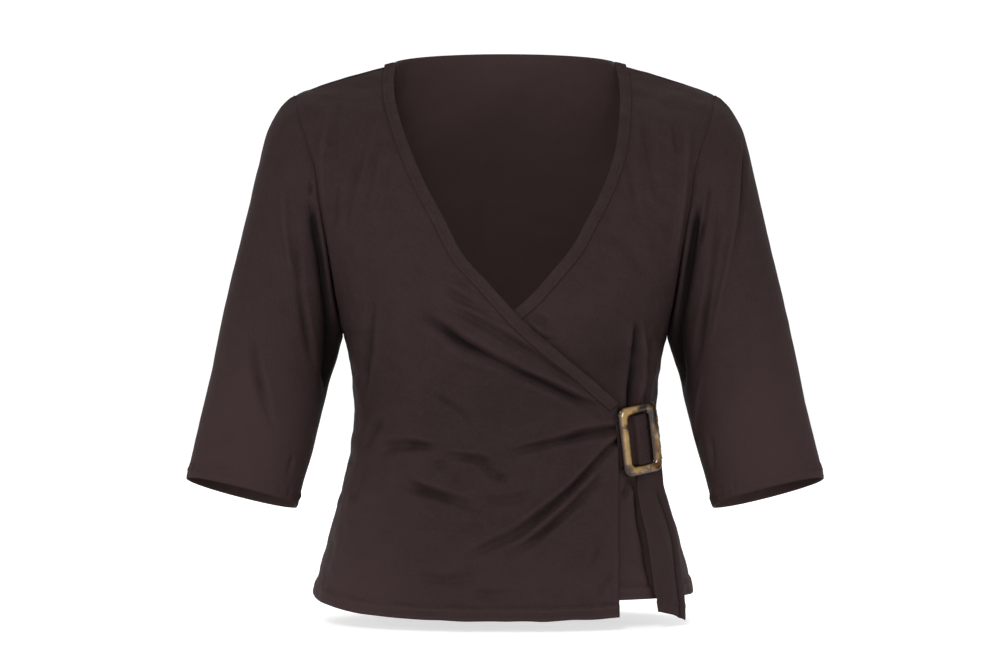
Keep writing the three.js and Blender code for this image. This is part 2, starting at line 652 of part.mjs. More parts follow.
// The armhole of one side: up its front from the underarm to the shoulder, then down its back
function armholeOf(frontPanel, backPanelHere, frontColumn, backColumn) {
  const rows = rowsWhere((i) => i >= underarmRow);
  const points = rows.map((i) => frontPanel.outer[i][frontColumn]);
  const outs = rows.map((i) => frontPanel.directions[i][frontColumn]);
  for (const i of rows.slice(1, -1).reverse()) {
    points.push(backPanelHere.outer[i][backColumn]);
    outs.push(backPanelHere.directions[i][backColumn]);
  }
  return [points, outs];
}

const underLast = underFront.outer[0].length - 1;
const backLast = backPanel.outer[0].length - 1;
addSleeve('right_sleeve', -1, ...armholeOf(outerFront, backPanel, 0, 0));
addSleeve('left_sleeve', 1, ...armholeOf(underFront, backPanel, underLast, backLast));

// The buckle and what goes through it share one turned group
const buckleFrame = new THREE.Group();
buckleFrame.position.set(BUCKLE_CENTRE.x, BUCKLE_CENTRE.y, BUCKLE_CENTRE.z);
buckleFrame.rotation.set(radians(90), radians(-BUCKLE_ROLL), radians(BUCKLE_YAW), 'ZYX');
buckleFrame.updateMatrixWorld(true);
top.add(buckleFrame);

function roundedRectangle(path, halfWidth, halfHeight, radius) {
  const quarter = Math.PI / 2;
  path.moveTo(halfWidth, radius - halfHeight);
  path.absarc(halfWidth - radius, halfHeight - radius, radius, 0, quarter);
  path.absarc(radius - halfWidth, halfHeight - radius, radius, quarter, 2 * quarter);
  path.absarc(radius - halfWidth, radius - halfHeight, radius, 2 * quarter, 3 * quarter);
  path.absarc(halfWidth - radius, radius - halfHeight, radius, 3 * quarter, 4 * quarter);
  path.closePath();
  return path;
}

// The frame's outline is drawn in by the bevel, which then brings it out to its full size
function buckleFrameGeometry() {
  const halfWidth = BUCKLE_WIDTH / 2;
  const halfHeight = BUCKLE_HEIGHT / 2;
  const outline = roundedRectangle(
    new THREE.Shape(), halfWidth - BUCKLE_BEVEL, halfHeight - BUCKLE_BEVEL, BUCKLE_CORNER - BUCKLE_BEVEL,
  );
  const windowWidth = halfWidth - BUCKLE_SIDE_BAR + BUCKLE_BEVEL;
  const windowHeight = halfHeight - BUCKLE_END_BAR + BUCKLE_BEVEL;
  outline.holes.push(roundedRectangle(new THREE.Path(), windowWidth, windowHeight, BUCKLE_WINDOW_CORNER));
  const geometry = new THREE.ExtrudeGeometry(outline, {
    depth: BUCKLE_THICKNESS - 2 * BUCKLE_BEVEL,
    bevelEnabled: true,
    bevelSize: BUCKLE_BEVEL,
    bevelThickness: BUCKLE_BEVEL,
    bevelSegments: 2,
    curveSegments: 5,
  });
  return geometry.translate(0, 0, BUCKLE_BEVEL - BUCKLE_THICKNESS / 2);
}

function centreBarGeometry() {
  const height = BUCKLE_HEIGHT - 2 * BUCKLE_END_BAR + 2 * CENTRE_BAR.sunk + 2 * BUCKLE_BEVEL;
  const geometry = new THREE.BoxGeometry(CENTRE_BAR.width, height, CENTRE_BAR.thickness);
  return geometry.translate(0, 0, CENTRE_BAR.out);
}

const solids = await Module();
solids.setup();

function solidOf(geometry) {
  const bare = geometry.clone();
  bare.deleteAttribute('normal');
  bare.deleteAttribute('uv');
  const merged = mergeVertices(bare);
  return new solids.Manifold(new solids.Mesh({
    numProp: 3,
    vertProperties: new Float32Array(merged.attributes.position.array),
    triVerts: new Uint32Array(merged.index.array),
  }));
}

const joinedBuckle = solidOf(buckleFrameGeometry()).add(solidOf(centreBarGeometry())).getMesh();
const buckleGeometry = closedGeometry([...joinedBuckle.vertProperties], [...joinedBuckle.triVerts]);
addPiece('buckle', buckleGeometry, resin, buckleFrame);

// A band of cloth: a line of given thickness seen from above, extruded over the band's height
function bandGeometry(line, thickness, height) {
  const side = (sign) => line.map(([across, out], i) => {
    const [beforeAcross, beforeOut] = line[Math.max(i - 1, 0)];
    const [afterAcross, afterOut] = line[Math.min(i + 1, line.length - 1)];
    const length = Math.hypot(afterAcross - beforeAcross, afterOut - beforeOut);
    const offset = (sign * thickness) / 2 / length;
    const sideways = (afterOut - beforeOut) * offset;
    return new THREE.Vector2(across - sideways, out + (afterAcross - beforeAcross) * offset);
  });
  const outline = new THREE.Shape([...side(1), ...side(-1).reverse()]);
  const geometry = new THREE.ExtrudeGeometry(outline, { depth: height, bevelEnabled: false });
  // The outline is drawn in the across-out plane, so the height is turned to the buckle's own up
  return geometry.rotateX(radians(90)).translate(0, height / 2, 0);
}

addPiece('strap', bandGeometry(STRAP_LINE, STRAP_THICKNESS, STRAP_HEIGHT), cloth, buckleFrame);
addPiece('buckle_loop', bandGeometry(LOOP_LINE, STRAP_THICKNESS, LOOP_HEIGHT), cloth, buckleFrame);

// The tail hangs from behind the buckle, between its edges' points, bowed out over the hip
function addTail() {
  const behind = TAIL_BEHIND_BUCKLE.map(({ left, right }) => ({
    left: new THREE.Vector3(...left).applyMatrix4(buckleFrame.matrixWorld),
    right: new THREE.Vector3(...right).applyMatrix4(buckleFrame.matrixWorld),
    bulge: 0,
  }));
  const below = TAIL_BELOW_BUCKLE.map(({ left, right, bulge }) => ({
    left: new THREE.Vector3(...left), right: new THREE.Vector3(...right), bulge,
  }));
  const grid = [...behind, ...below].map(({ left, right, bulge }) => {
    const bow = new THREE.Vector3(left.y - right.y, left.x - right.x, 0).normalize().negate();
    return Array.from({ length: TAIL_COLUMNS + 1 }, (_, j) => {
      const k = j / TAIL_COLUMNS;
      return left.clone().lerp(right, k).addScaledVector(bow, bulge * Math.sin(Math.PI * k));
    });
  });
  const directions = gridNormals(grid, new THREE.Vector3(1, -1, 0));
  const outer = inset(grid, directions, -STRAP_THICKNESS / 2);
  const inner = inset(grid, directions, STRAP_THICKNESS / 2);
  addPiece('strap_tail', wallBetween(outer, inner), cloth);
}
addTail();

export default top;
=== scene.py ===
# %% [markdown]
# A wrap top as it looks when worn: dark brown viscose jersey, one front crossed over the other and held at
# the side by a tortoiseshell buckle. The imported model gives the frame. Everything here is in metres in that
# frame, and the tables below are in millimetres, because that is how a pattern cutter writes them down.

# %% Load the frame
import math

import bpy
import numpy as np
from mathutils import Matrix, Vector, noise


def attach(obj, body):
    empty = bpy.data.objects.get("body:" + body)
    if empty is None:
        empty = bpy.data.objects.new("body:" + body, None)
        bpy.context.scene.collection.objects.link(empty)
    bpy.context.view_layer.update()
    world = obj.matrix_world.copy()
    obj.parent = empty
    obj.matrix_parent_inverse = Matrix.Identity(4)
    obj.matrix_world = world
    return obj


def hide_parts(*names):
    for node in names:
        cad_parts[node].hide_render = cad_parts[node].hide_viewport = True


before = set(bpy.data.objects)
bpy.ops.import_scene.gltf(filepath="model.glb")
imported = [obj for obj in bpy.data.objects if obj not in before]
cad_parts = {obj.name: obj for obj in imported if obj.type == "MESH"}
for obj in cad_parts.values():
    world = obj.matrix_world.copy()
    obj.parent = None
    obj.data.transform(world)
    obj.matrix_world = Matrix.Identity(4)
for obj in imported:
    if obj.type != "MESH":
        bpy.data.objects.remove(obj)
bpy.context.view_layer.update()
MM = 0.001

# %% [markdown]
# The photograph was taken level, from about 2.6 m away, with a long lens. At the middle of the top one
# pixel is 0.95 mm, which fixes the lens: pixels per millimetre times the distance is the focal length in
# pixels.

# %% Camera
IMAGE_WIDTH = 1008
MM_PER_PIXEL = 0.95
CAMERA_DISTANCE = 2600
CAMERA_HEIGHT = -260
camera_data = bpy.data.cameras.new("camera")
camera_data.sensor_width = 36
camera_data.lens = camera_data.sensor_width * CAMERA_DISTANCE / (MM_PER_PIXEL * IMAGE_WIDTH)
camera = bpy.data.objects.new("camera", camera_data)
camera.location = Vector((-0.95, -CAMERA_DISTANCE, CAMERA_HEIGHT)) * MM
camera.rotation_euler = (math.radians(90), 0, 0)
bpy.context.scene.collection.objects.link(camera)
bpy.context.scene.camera = camera
print("lens, mm:", round(camera_data.lens, 1))

# %% [markdown]
# A top like this is drafted on a body form. Each height of the body has one row: where its side lies, how far
# forward its middle is, and how much of a quarter turn lies between them. A smooth curve through each column
# fills in the heights between, so a few rows describe the whole form.

# %% The body form's tables
ROUNDNESS = 2.3
UNDERARM = 0.52
SHOULDER_HALF = 201.6
NECK_HALF = 104.5
SHOULDER_CREST, SHOULDER_DROP = 11, 41.6
NECK_POINT_Y, SHOULDER_TIP_Y = 10, 5
BACK_NECK_Y, BACK_NECK_Z = 73, 15
YOKE = 0.8

# height, x, y, z
SIDE_SEAM = [
    (0.00, 178.0, 0, -502), (0.06, 171.5, 0, -474), (0.15, 160.0, 0, -433), (0.25, 147.0, 0, -385),
    (0.34, 142.5, 0, -344), (0.43, 145.0, 2, -301), (0.52, 153.0, 5, -258),
]
FRONT_ARMHOLE = [
    (0.52, 153.0, 5, -258), (0.55, 155.0, -14, -250), (0.60, 159.0, -34, -228), (0.68, 165.5, -50, -183),
    (0.78, 173.5, -55, -133), (0.83, 177.0, -52, -108), (0.88, 184.0, -44, -85), (0.95, 197.0, -18, -49),
    (1.00, 201.6, 5, -30.6),
]
BACK_ARMHOLE = [
    (0.52, 153.0, 5, -258), (0.55, 154.5, 20, -251), (0.60, 157.5, 38, -231), (0.68, 162.5, 54, -193),
    (0.78, 168.0, 61, -145), (0.83, 171.5, 60, -120), (0.88, 178.0, 55, -96), (0.95, 192.0, 34, -56),
    (1.00, 201.6, 5, -30.6),
]
# height, depth, z, sweep in degrees
FRONT_MIDDLE = [
    (0.00, 120, -519, 90), (0.06, 117, -489, 90), (0.15, 110, -444, 90), (0.25, 101, -392, 90),
    (0.34, 98, -347, 90), (0.43, 110, -301, 90), (0.52, 125, -258, 90), (0.60, 121, -215, 76),
    (0.68, 107, -172, 66), (0.78, 84, -120, 55), (0.83, 68, -92, 48), (0.88, 49, -64, 42),
    (0.95, 12, -22, 35),
    (1.00, -16, 11, 30),
]
BACK_MIDDLE = [
    (0.00, 110, -505, 90), (0.06, 108, -478, 90), (0.15, 100, -436, 90), (0.25, 86, -388, 90),
    (0.34, 76, -346, 90), (0.43, 78, -302, 90), (0.52, 84, -258, 90), (0.60, 88, -215, 70),
    (0.68, 89, -170, 58), (0.78, 88, -115, 48), (0.83, 86, -86, 45), (0.88, 83, -57, 42), (0.95, 77, -15, 36),
    (1.00, 73, 15, 30),
]
# The free edge of each front as seen from in front: z, x
OUTER_EDGE = [
    (-530, 102.8), (-383, 102.9), (-325, 102.7), (-307, 86.8), (-275, 49.8), (-245, 14.3), (-212, -15.5),
    (-188, -37.4), (-154, -55.5), (-119, -74), (-86, -88.5), (-53, -100), (-33, -104.5), (-20, -105.6),
    (0, -104.5), (20, -103.5),
]
UNDER_EDGE = [
    (-530, -230), (-400, -180), (-372, -146), (-349, -120), (-314, -80), (-238, 7.3), (-224, 23),
    (-202, 42.6),
    (-180, 60.6), (-154, 75), (-131, 87), (-110, 95.8), (-88, 102.4), (-61, 106.6), (-30.6, 108.6),
    (-14, 107.5), (0, 104.5), (20, 103.5),
]

# %% [markdown]
# A cutter marks a few points and draws a curve through them by eye. These functions do the same. None of
# them swings past its points, and every length is measured along the cloth and not straight across.

# %% Curves and lengths
def smooth(low, high, v):
    k = np.clip((v - low) / (high - low), 0, 1)
    return k * k * (3 - 2 * k)


def curve_through(places, values):
    """A smooth curve through the points that never swings past them."""
    places, values = np.asarray(places, float), np.asarray(values, float)
    slopes = np.diff(values) / np.diff(places)
    before, after = slopes[:-1], slopes[1:]
    total = np.where(before + after == 0, 1, before + after)
    inner = np.where(before * after <= 0, 0, 2 * before * after / total)
    tangents = np.concatenate([slopes[:1], inner, slopes[-1:]])

    def at(place):
        place = np.asarray(place, float)
        i = np.clip(np.searchsorted(places, place, side="left") - 1, 0, len(places) - 2)
        span = places[i + 1] - places[i]
        k = np.clip((place - places[i]) / span, 0, 1)
        rise = (2 * k**3 - 3 * k**2 + 1) * values[i] + (3 * k**2 - 2 * k**3) * values[i + 1]
        bend = (k**3 - 2 * k**2 + k) * tangents[i] + (k**3 - k**2) * tangents[i + 1]
        return rise + span * bend

    return at


def columns(rows):
    table = np.array(rows, float).T
    return [curve_through(table[0], column) for column in table[1:]]


def squarish(v, power):
    """A sine or cosine pushed towards its ends, which makes a round section squarer."""
    return np.sign(v) * np.abs(v) ** power


def walked(points, axis=0):
    """How far each point lies from the first one of its line."""
    steps = np.linalg.norm(np.diff(points, axis=axis), axis=-1)
    start = np.zeros_like(np.take(steps, [0], axis=axis))
    return np.concatenate([start, np.cumsum(steps, axis=axis)], axis=axis)


def quads(rows, cols, round_rows=False, round_cols=False):
    """The faces of a grid of points, closed into a ring where the cloth or the bar goes round."""
    i, j = np.meshgrid(
        np.arange(rows if round_rows else rows - 1), np.arange(cols if round_cols else cols - 1),
        indexing="ij",
    )
    below, beside = (i + 1) % rows, (j + 1) % cols
    corners = (i * cols + j, i * cols + beside, below * cols + beside, below * cols + j)
    return np.stack([corner.ravel() for corner in corners], 1)


side_x, side_y, side_z = columns(SIDE_SEAM)
front_half = (-1, columns(FRONT_ARMHOLE), columns(FRONT_MIDDLE))
back_half = (1, columns(BACK_ARMHOLE), columns(BACK_MIDDLE))
outer_edge, under_edge = columns(OUTER_EDGE)[0], columns(UNDER_EDGE)[0]
print("side seam, mm:", len(SIDE_SEAM), "rows; waist", 2 * SIDE_SEAM[4][1], "mm wide")

# %% [markdown]
# A row's cross-section is a quarter of a squarish ellipse. `across` runs from the wearer's right (-1) to
# the left (1) and `up` from the hem (0) to the shoulder seam (1). In the yoke, the top fifth, rows bend
# over to meet the shoulder seam and the back neck, which have lines of their own.

# %% The form as a surface
def body_point(half, across, up):
    facing, armhole, (depth, middle_z, sweep_of) = half
    across, up = np.broadcast_arrays(np.asarray(across, float), np.asarray(up, float))
    below = up <= UNDERARM
    end_x, end_y, end_z = (
        np.where(below, seam(up), edge(up)) for seam, edge in zip((side_x, side_y, side_z), armhole)
    )
    sweep = np.radians(sweep_of(up))
    power = 2 / ROUNDNESS
    wide = (np.abs(np.sin(across * sweep)) / np.sin(sweep)) ** power
    forward, forward_end = (np.maximum(np.cos(turn), 0) ** power for turn in (across * sweep, sweep))
    inward = (1 - forward) / (1 - forward_end)
    start_y = facing * depth(up)
    x = np.sign(across) * end_x * wide
    y = start_y + (end_y - start_y) * inward
    z = middle_z(up) + (end_z - middle_z(up)) * across * across
    return np.stack([x, y, z], -1)


def top_share(up):
    return np.clip((np.asarray(up, float) - YOKE) / (1 - YOKE), 0, 1)[..., None] ** 2


def shoulder_line(x):
    k = (SHOULDER_HALF - np.abs(x)) / (SHOULDER_HALF - NECK_HALF)
    y = SHOULDER_TIP_Y + (NECK_POINT_Y - SHOULDER_TIP_Y) * k
    return np.stack([x, y, SHOULDER_CREST - SHOULDER_DROP * (x / SHOULDER_HALF) ** 2], -1)


def front_point(across, up):
    top = body_point(front_half, across, 1)
    return body_point(front_half, across, up) + (shoulder_line(top[..., 0]) - top) * top_share(up)


UNDER_HEM_LESS, UNDER_HEM_LESS_TOP = 0.036, 0.35


def under_front_point(across, up):
    less = UNDER_HEM_LESS * (1 - across**2) * (1 - smooth(0, UNDER_HEM_LESS_TOP, up))
    return front_point(across, up + less)


def bisect(is_low, low, high, steps=40):
    for _ in range(steps):
        middle = (low + high) / 2
        under = is_low(middle)
        low, high = np.where(under, middle, low), np.where(under, high, middle)
    return (low + high) / 2


back_neck_across = float(bisect(lambda a: body_point(back_half, a, 1)[..., 0] < NECK_HALF, 0.0, 1.0))


def back_top(across):
    seam = shoulder_line(body_point(back_half, across, 1)[..., 0])
    reach = np.clip(np.abs(across) / back_neck_across, 0, 1) * math.pi / 2
    corner = shoulder_line(np.array(NECK_HALF, float))
    neck = np.stack([
        np.sign(across) * NECK_HALF * np.sin(reach),
        NECK_POINT_Y + (BACK_NECK_Y - NECK_POINT_Y) * np.cos(reach),
        corner[2] + (BACK_NECK_Z - corner[2]) * np.cos(reach),
    ], -1)
    return np.where((np.abs(across) >= back_neck_across)[..., None], seam, neck)


def back_point(across, up):
    top = body_point(back_half, across, 1)
    return body_point(back_half, across, up) + (back_top(across) - top) * top_share(up)


def edge_across(surface, up, edge):
    """Where each row meets a front's free edge."""
    def is_low(across):
        point = surface(across, up)
        return point[..., 0] < edge(point[..., 2])
    return bisect(is_low, np.full_like(up, -1.0), np.full_like(up, 1.0))


print("back neck half width, mm:", round(float(back_point(np.array(back_neck_across), 1.0)[0]), 1))

# %% [markdown]
# Jersey has almost no stiffness, so what the photograph shows are soft troughs with a rounded lip beside
# them. Each one is drawn as a path on the front: `deep` and `wide` in millimetres, and how much of the path
# fades in and out. The strong ones all run to the buckle, which pulls the cloth together. Both fronts take
# the same folds, because the under front lies against the outer one.

# %% The folds
DEEPER, NARROWER = 1.2, 0.85
# deep, wide, lip, fade in, fade out, path of x, z
FRONT_FOLDS = [
    # waist, the deepest, to the buckle's top
    (5.6, 5, 0.45, 0.35, 0.25, [
        (-93, -230), (-73, -243), (-59, -252), (-41, -265), (-23, -275), (-5, -284), (14, -293), (32, -301),
        (50, -310), (68, -319), (85, -327), (98, -332),
    ]),
    (2, 9, 0.2, 0.3, 0.5, [(-92, -230), (-68, -244), (-41, -263), (-14, -278)]),
    (3, 3.8, 0.4, 0.3, 0.2, [
        (-68, -220), (-50, -233), (-32, -243), (-14, -253), (5, -264), (23, -275), (41, -286), (59, -299),
        (78, -311),
    ]),
    (2.4, 3.8, 0.4, 0.3, 0.4, [(-63, -209), (-46, -223), (-27, -233), (-14, -240), (1, -249)]),
    (1.6, 3.5, 0.4, 0.3, 0.4, [(-52, -200), (-39, -209), (-25, -220)]),
    (2.4, 3, 0.5, 0.3, 0.4, [(22, -241), (30, -244), (37, -247), (46, -248)]),
    (2.6, 3, 0.5, 0.3, 0.4, [(14, -249), (25, -256), (36, -263), (52, -265)]),
    (2.2, 5, 0.35, 0.3, 0.4, [(-67, -312), (-57, -319), (-47, -327), (-37, -335), (-28, -340)]),
    (4.6, 5, 0.4, 0.4, 0.4, [(-119, -370), (-108, -364), (-96, -361), (-82, -360), (-68, -362), (-56, -366)]),
    (3.5, 4.2, 0.4, 0.4, 0.4, [(-63, -372), (-50, -370), (-36, -371), (-23, -373), (-9, -375), (-1, -374)]),
    (2.6, 4, 0.4, 0.3, 0.3, [(-68, -375), (-59, -378), (-50, -373)]),
    (3.9, 4.2, 0.4, 0.4, 0.3, [(-28, -373), (-19, -378), (-10, -386), (-1, -390), (7, -391)]),
    # to the middle of the buckle
    (4.4, 4.2, 0.45, 0.35, 0, [
        (-6, -367), (6, -367), (23, -362), (36, -359), (50, -356), (68, -351), (87, -348), (104, -346),
    ]),
    (1.6, 4, 0.3, 0.4, 0.4, [(-50, -383), (-43, -389), (-34, -391)]),
    (4.8, 5.2, 0.4, 0.4, 0.4, [
        (-104, -390), (-89, -396), (-73, -402), (-59, -406), (-43, -411), (-28, -417), (-16, -420),
    ]),
    (2.4, 4, 0.35, 0.35, 0.35, [(-28, -405), (-14, -409), (1, -410), (16, -407), (30, -401)]),
    # from the hem up to the buckle
    (5, 4.2, 0.5, 0.35, 0, [
        (-52, -464), (-39, -461), (-27, -457), (-14, -451), (0, -445), (14, -438), (27, -428), (41, -417),
        (55, -405), (68, -392), (82, -377), (95, -364), (105, -354),
    ]),
    (4.2, 4.4, 0.45, 0.35, 0.15, [
        (-5, -470), (3, -462), (10, -457), (23, -448), (36, -438), (50, -426), (64, -413), (78, -400),
        (93, -385),
    ]),
    (1.8, 4.5, 0.3, 0.3, 0.3, [(78, -467), (87, -456), (94, -443)]),
    (2, 4.5, 0.3, 0.3, 0.3, [(85, -498), (93, -486), (100, -473)]),
    (2.2, 5, 0.3, 0.35, 0.35, [(-92, -484), (-76, -480), (-55, -482), (-34, -480), (-16, -474)]),
    (2.6, 4.5, 0.35, 0.35, 0.35, [(-34, -490), (-19, -495), (-5, -495), (9, -489)]),
    (1.6, 4.5, 0.3, 0.35, 0.35, [(27, -492), (43, -494), (59, -490)]),
    (1.8, 4.5, 0.3, 0.35, 0.35, [(-46, -437), (-32, -435), (-14, -434)]),
    # down the wearer's right side
    (3.6, 5, 0.45, 0.25, 0.3, [(-122, -223), (-125, -250), (-128, -278), (-131, -301), (-135, -324)]),
    (3, 6, 0.35, 0.35, 0.35, [(-109, -333), (-119, -344), (-126, -356), (-130, -367)]),
    (2, 5, 0.3, 0.3, 0.3, [(-128, -376), (-132, -393), (-142, -417)]),
    # from the shoulders
    (1.7, 4.5, 0.45, 0.35, 0.5, [
        (-119, -32), (-122, -45), (-126, -62), (-132, -82), (-139, -108), (-146, -145), (-149, -175),
    ]),
    (1.4, 4.5, 0.45, 0.35, 0.5, [(-112, -52), (-116, -70), (-121, -92), (-126, -118), (-130, -150)]),
    (1.2, 4.5, 0.45, 0.35, 0.5, [(-106, -86), (-110, -108), (-114, -134), (-116, -165)]),
    (1.4, 4.5, 0.4, 0.35, 0.5, [(-156, -36), (-159, -55), (-160, -80), (-156, -110)]),
    (1.4, 4.5, 0.4, 0.3, 0.4, [(-156, -114), (-158, -137), (-160, -165)]),
    (1.7, 4.5, 0.45, 0.35, 0.5, [(128, -42), (130, -60), (134, -88), (138, -115), (141, -145)]),
    (1.4, 4.5, 0.45, 0.35, 0.5, [(111, -84), (116, -107), (120, -130), (122, -158)]),
    (1.6, 3.5, 0.4, 0.3, 0.4, [(157, -60), (160, -76), (163, -93)]),
    # ridges beside the armholes
    (-3.2, 5, 0.2, 0.25, 0.3, [
        (-166, -50), (-169, -76), (-172, -99), (-173, -123), (-172, -146), (-167, -174), (-161, -203),
    ]),
    (-3.2, 5, 0.2, 0.25, 0.3, [(171, -50), (170, -85), (168, -123), (164, -151), (160, -179), (154, -217)]),
    # above and below the buckle
    (7, 4.6, 0.5, 0.3, 0, [(122, -241), (121, -264), (120, -287), (118, -305), (116, -324)]),
    (3.5, 3.4, 0.5, 0.3, 0.05, [(137, -259), (135, -282), (132, -301), (128, -319)]),
    (3.5, 3.2, 0.4, 0.05, 0.35, [(116, -391), (113, -400), (108, -413)]),
    # beside the tail
    (4.5, 3.4, 0.3, 0.05, 0.2, [(117, -390), (122, -409), (125, -430), (129, -453), (133, -477),
        (136, -497)]),
]
BACK_FOLDS = [
    (2.7, 10.0, 0.35, 0.30, 0.40, [(-128, -340), (-85, -352), (-30, -356), (20, -350)]),
    (2.2, 7.0, 0.35, 0.40, 0.30, [(132, -330), (95, -345), (50, -362), (5, -370)]),
    (2.0, 6.2, 0.35, 0.40, 0.40, [(-118, -312), (-70, -322), (-22, -318)]),
    (2.4, 7.0, 0.35, 0.35, 0.45, [(120, -372), (78, -386), (26, -390)]),
    (1.7, 12.0, 0.25, 0.40, 0.40, [(-70, -400), (-78, -450), (-80, -490)]),
    (1.7, 12.0, 0.25, 0.40, 0.40, [(58, -410), (66, -455), (70, -492)]),
    (2.1, 7.0, 0.30, 0.25, 0.45, [(-140, -45), (-142, -90), (-136, -140), (-120, -190)]),
    (2.1, 7.0, 0.30, 0.25, 0.45, [(142, -48), (141, -98), (132, -150), (114, -196)]),
    (1.5, 12.0, 0.25, 0.40, 0.40, [(-30, -60), (-34, -130), (-28, -200)]),
]
# The same for the sleeves, with paths of turn round the sleeve and share of its length. The backs of both
# sleeves fold alike.
SLEEVE_BACK_FOLDS = [
    (3, 7, 0.35, 0.3, 0.35, [(0.94, 0.18), (0.84, 0.34), (0.74, 0.46)]),
    (2.8, 6.5, 0.35, 0.3, 0.35, [(0.66, 0.4), (0.74, 0.55), (0.84, 0.68)]),
    (2.4, 6.5, 0.35, 0.35, 0.35, [(0.62, 0.66), (0.72, 0.76), (0.8, 0.88)]),
    (1.8, 9, 0.3, 0.35, 0.35, [(0.55, 0.1), (0.58, 0.28), (0.6, 0.48)]),
    (2, 6, 0.35, 0.3, 0.35, [(0.95, 0.42), (0.88, 0.52), (0.8, 0.6)]),
]
RIGHT_SLEEVE_FOLDS = [
    (5.4, 20, 0, 0.15, 0.2, [
        (0.284, 0.060), (0.219, 0.055), (0.156, 0.070), (0.109, 0.126), (0.075, 0.226), (0.059, 0.382),
        (0.019, 0.543),
    ]),
    (2.6, 8, 0.15, 0.3, 0.3, [
        (0.294, 0.171), (0.256, 0.231), (0.228, 0.296), (0.197, 0.372), (0.156, 0.447), (0.103, 0.518),
    ]),
    (2.6, 6, 0.35, 0.3, 0.35, [
        (0.319, 0.618), (0.294, 0.673), (0.272, 0.724), (0.241, 0.779), (0.206, 0.824), (0.178, 0.844),
    ]),
    (-2.5, 7, 0.1, 0.3, 0.35, [(0.344, 0.171), (0.306, 0.246), (0.269, 0.302), (0.234, 0.357)]),
    (3.5, 4, 0.3, 0.25, 0.25, [(0.328, 0), (0.294, 0.02), (0.275, 0.07)]),
    (1.2, 3.5, 0.3, 0.35, 0.35, [(0.388, 0.925), (0.331, 0.91), (0.272, 0.899)]),
    (1.2, 3.5, 0.3, 0.35, 0.35, [(0.369, 0.97), (0.309, 0.96), (0.253, 0.94)]),
    (1.6, 4, 0.3, 0.35, 0.35, [(0.116, 0.854), (0.113, 0.899), (0.113, 0.945)]),
    (1.2, 4, 0.3, 0.35, 0.35, [(0.409, 0.824), (0.353, 0.804), (0.319, 0.769)]),
] + SLEEVE_BACK_FOLDS
LEFT_SLEEVE_FOLDS = [
    (5.8, 20, 0, 0.15, 0.2, [
        (0.278, 0.035), (0.219, 0.055), (0.159, 0.080), (0.106, 0.116), (0.062, 0.196), (0.038, 0.357),
        (0.000, 0.528),
    ]),
    (2.6, 8, 0.15, 0.3, 0.3, [
        (0.328, 0.161), (0.278, 0.221), (0.238, 0.281), (0.197, 0.347), (0.150, 0.437), (0.097, 0.508),
    ]),
    (-2.5, 6, 0.1, 0.3, 0.35, [
        (0.406, 0.171), (0.353, 0.261), (0.297, 0.332), (0.253, 0.392), (0.206, 0.462), (0.169, 0.513),
    ]),
    (2.4, 5, 0.35, 0.25, 0.4, [(0.456, 0.181), (0.388, 0.261), (0.347, 0.317), (0.303, 0.367),
        (0.278, 0.412)]),
    (2, 4.5, 0.35, 0.3, 0.3, [(0.319, 0.111), (0.275, 0.121), (0.234, 0.136), (0.203, 0.141)]),
    (-1.8, 4, 0.1, 0.3, 0.3, [(0.144, 0.518), (0.094, 0.608), (0.041, 0.714), (0, 0.814)]),
    (1.6, 6, 0.3, 0.35, 0.35, [(0.106, 0.764), (0.097, 0.854), (0.062, 0.915)]),
    (1.4, 8, 0.3, 0.35, 0.35, [(0.278, 0.608), (0.263, 0.683), (0.259, 0.764)]),
] + SLEEVE_BACK_FOLDS
FOLD_COUNTS = [len(folds) for folds in (FRONT_FOLDS, BACK_FOLDS, RIGHT_SLEEVE_FOLDS, LEFT_SLEEVE_FOLDS)]
print("folds on the fronts, the back and the two sleeves:", FOLD_COUNTS)

# %% [markdown]
# A fold is a rounded groove along its path with a lip on each side. Its depth and width waver a little
# along the way, because cloth never folds evenly. Between the folds the cloth wanders slowly in and out.
# The wandering is a fixed noise, so each run gives the same cloth.

# %% Press the folds into the cloth
def spline_samples(points, count=48):
    """Evenly spread points along a smooth line through the given ones."""
    points = np.array(points, float)
    reach = walked(points)
    before = np.vstack([2 * points[0] - points[1], points[:-1]])
    after = np.vstack([points[1:], 2 * points[-1] - points[-2]])
    tangent = (after - before) / 2
    place = np.linspace(0, reach[-1], count)
    i = np.clip(np.searchsorted(reach, place, side="right") - 1, 0, len(points) - 2)
    k = ((place - reach[i]) / (reach[i + 1] - reach[i]))[:, None]
    return (
        (2 * k**3 - 3 * k**2 + 1) * points[i] + (k**3 - 2 * k**2 + k) * tangent[i]
        + (3 * k**2 - 2 * k**3) * points[i + 1] + (k**3 - k**2) * tangent[i + 1]
    )


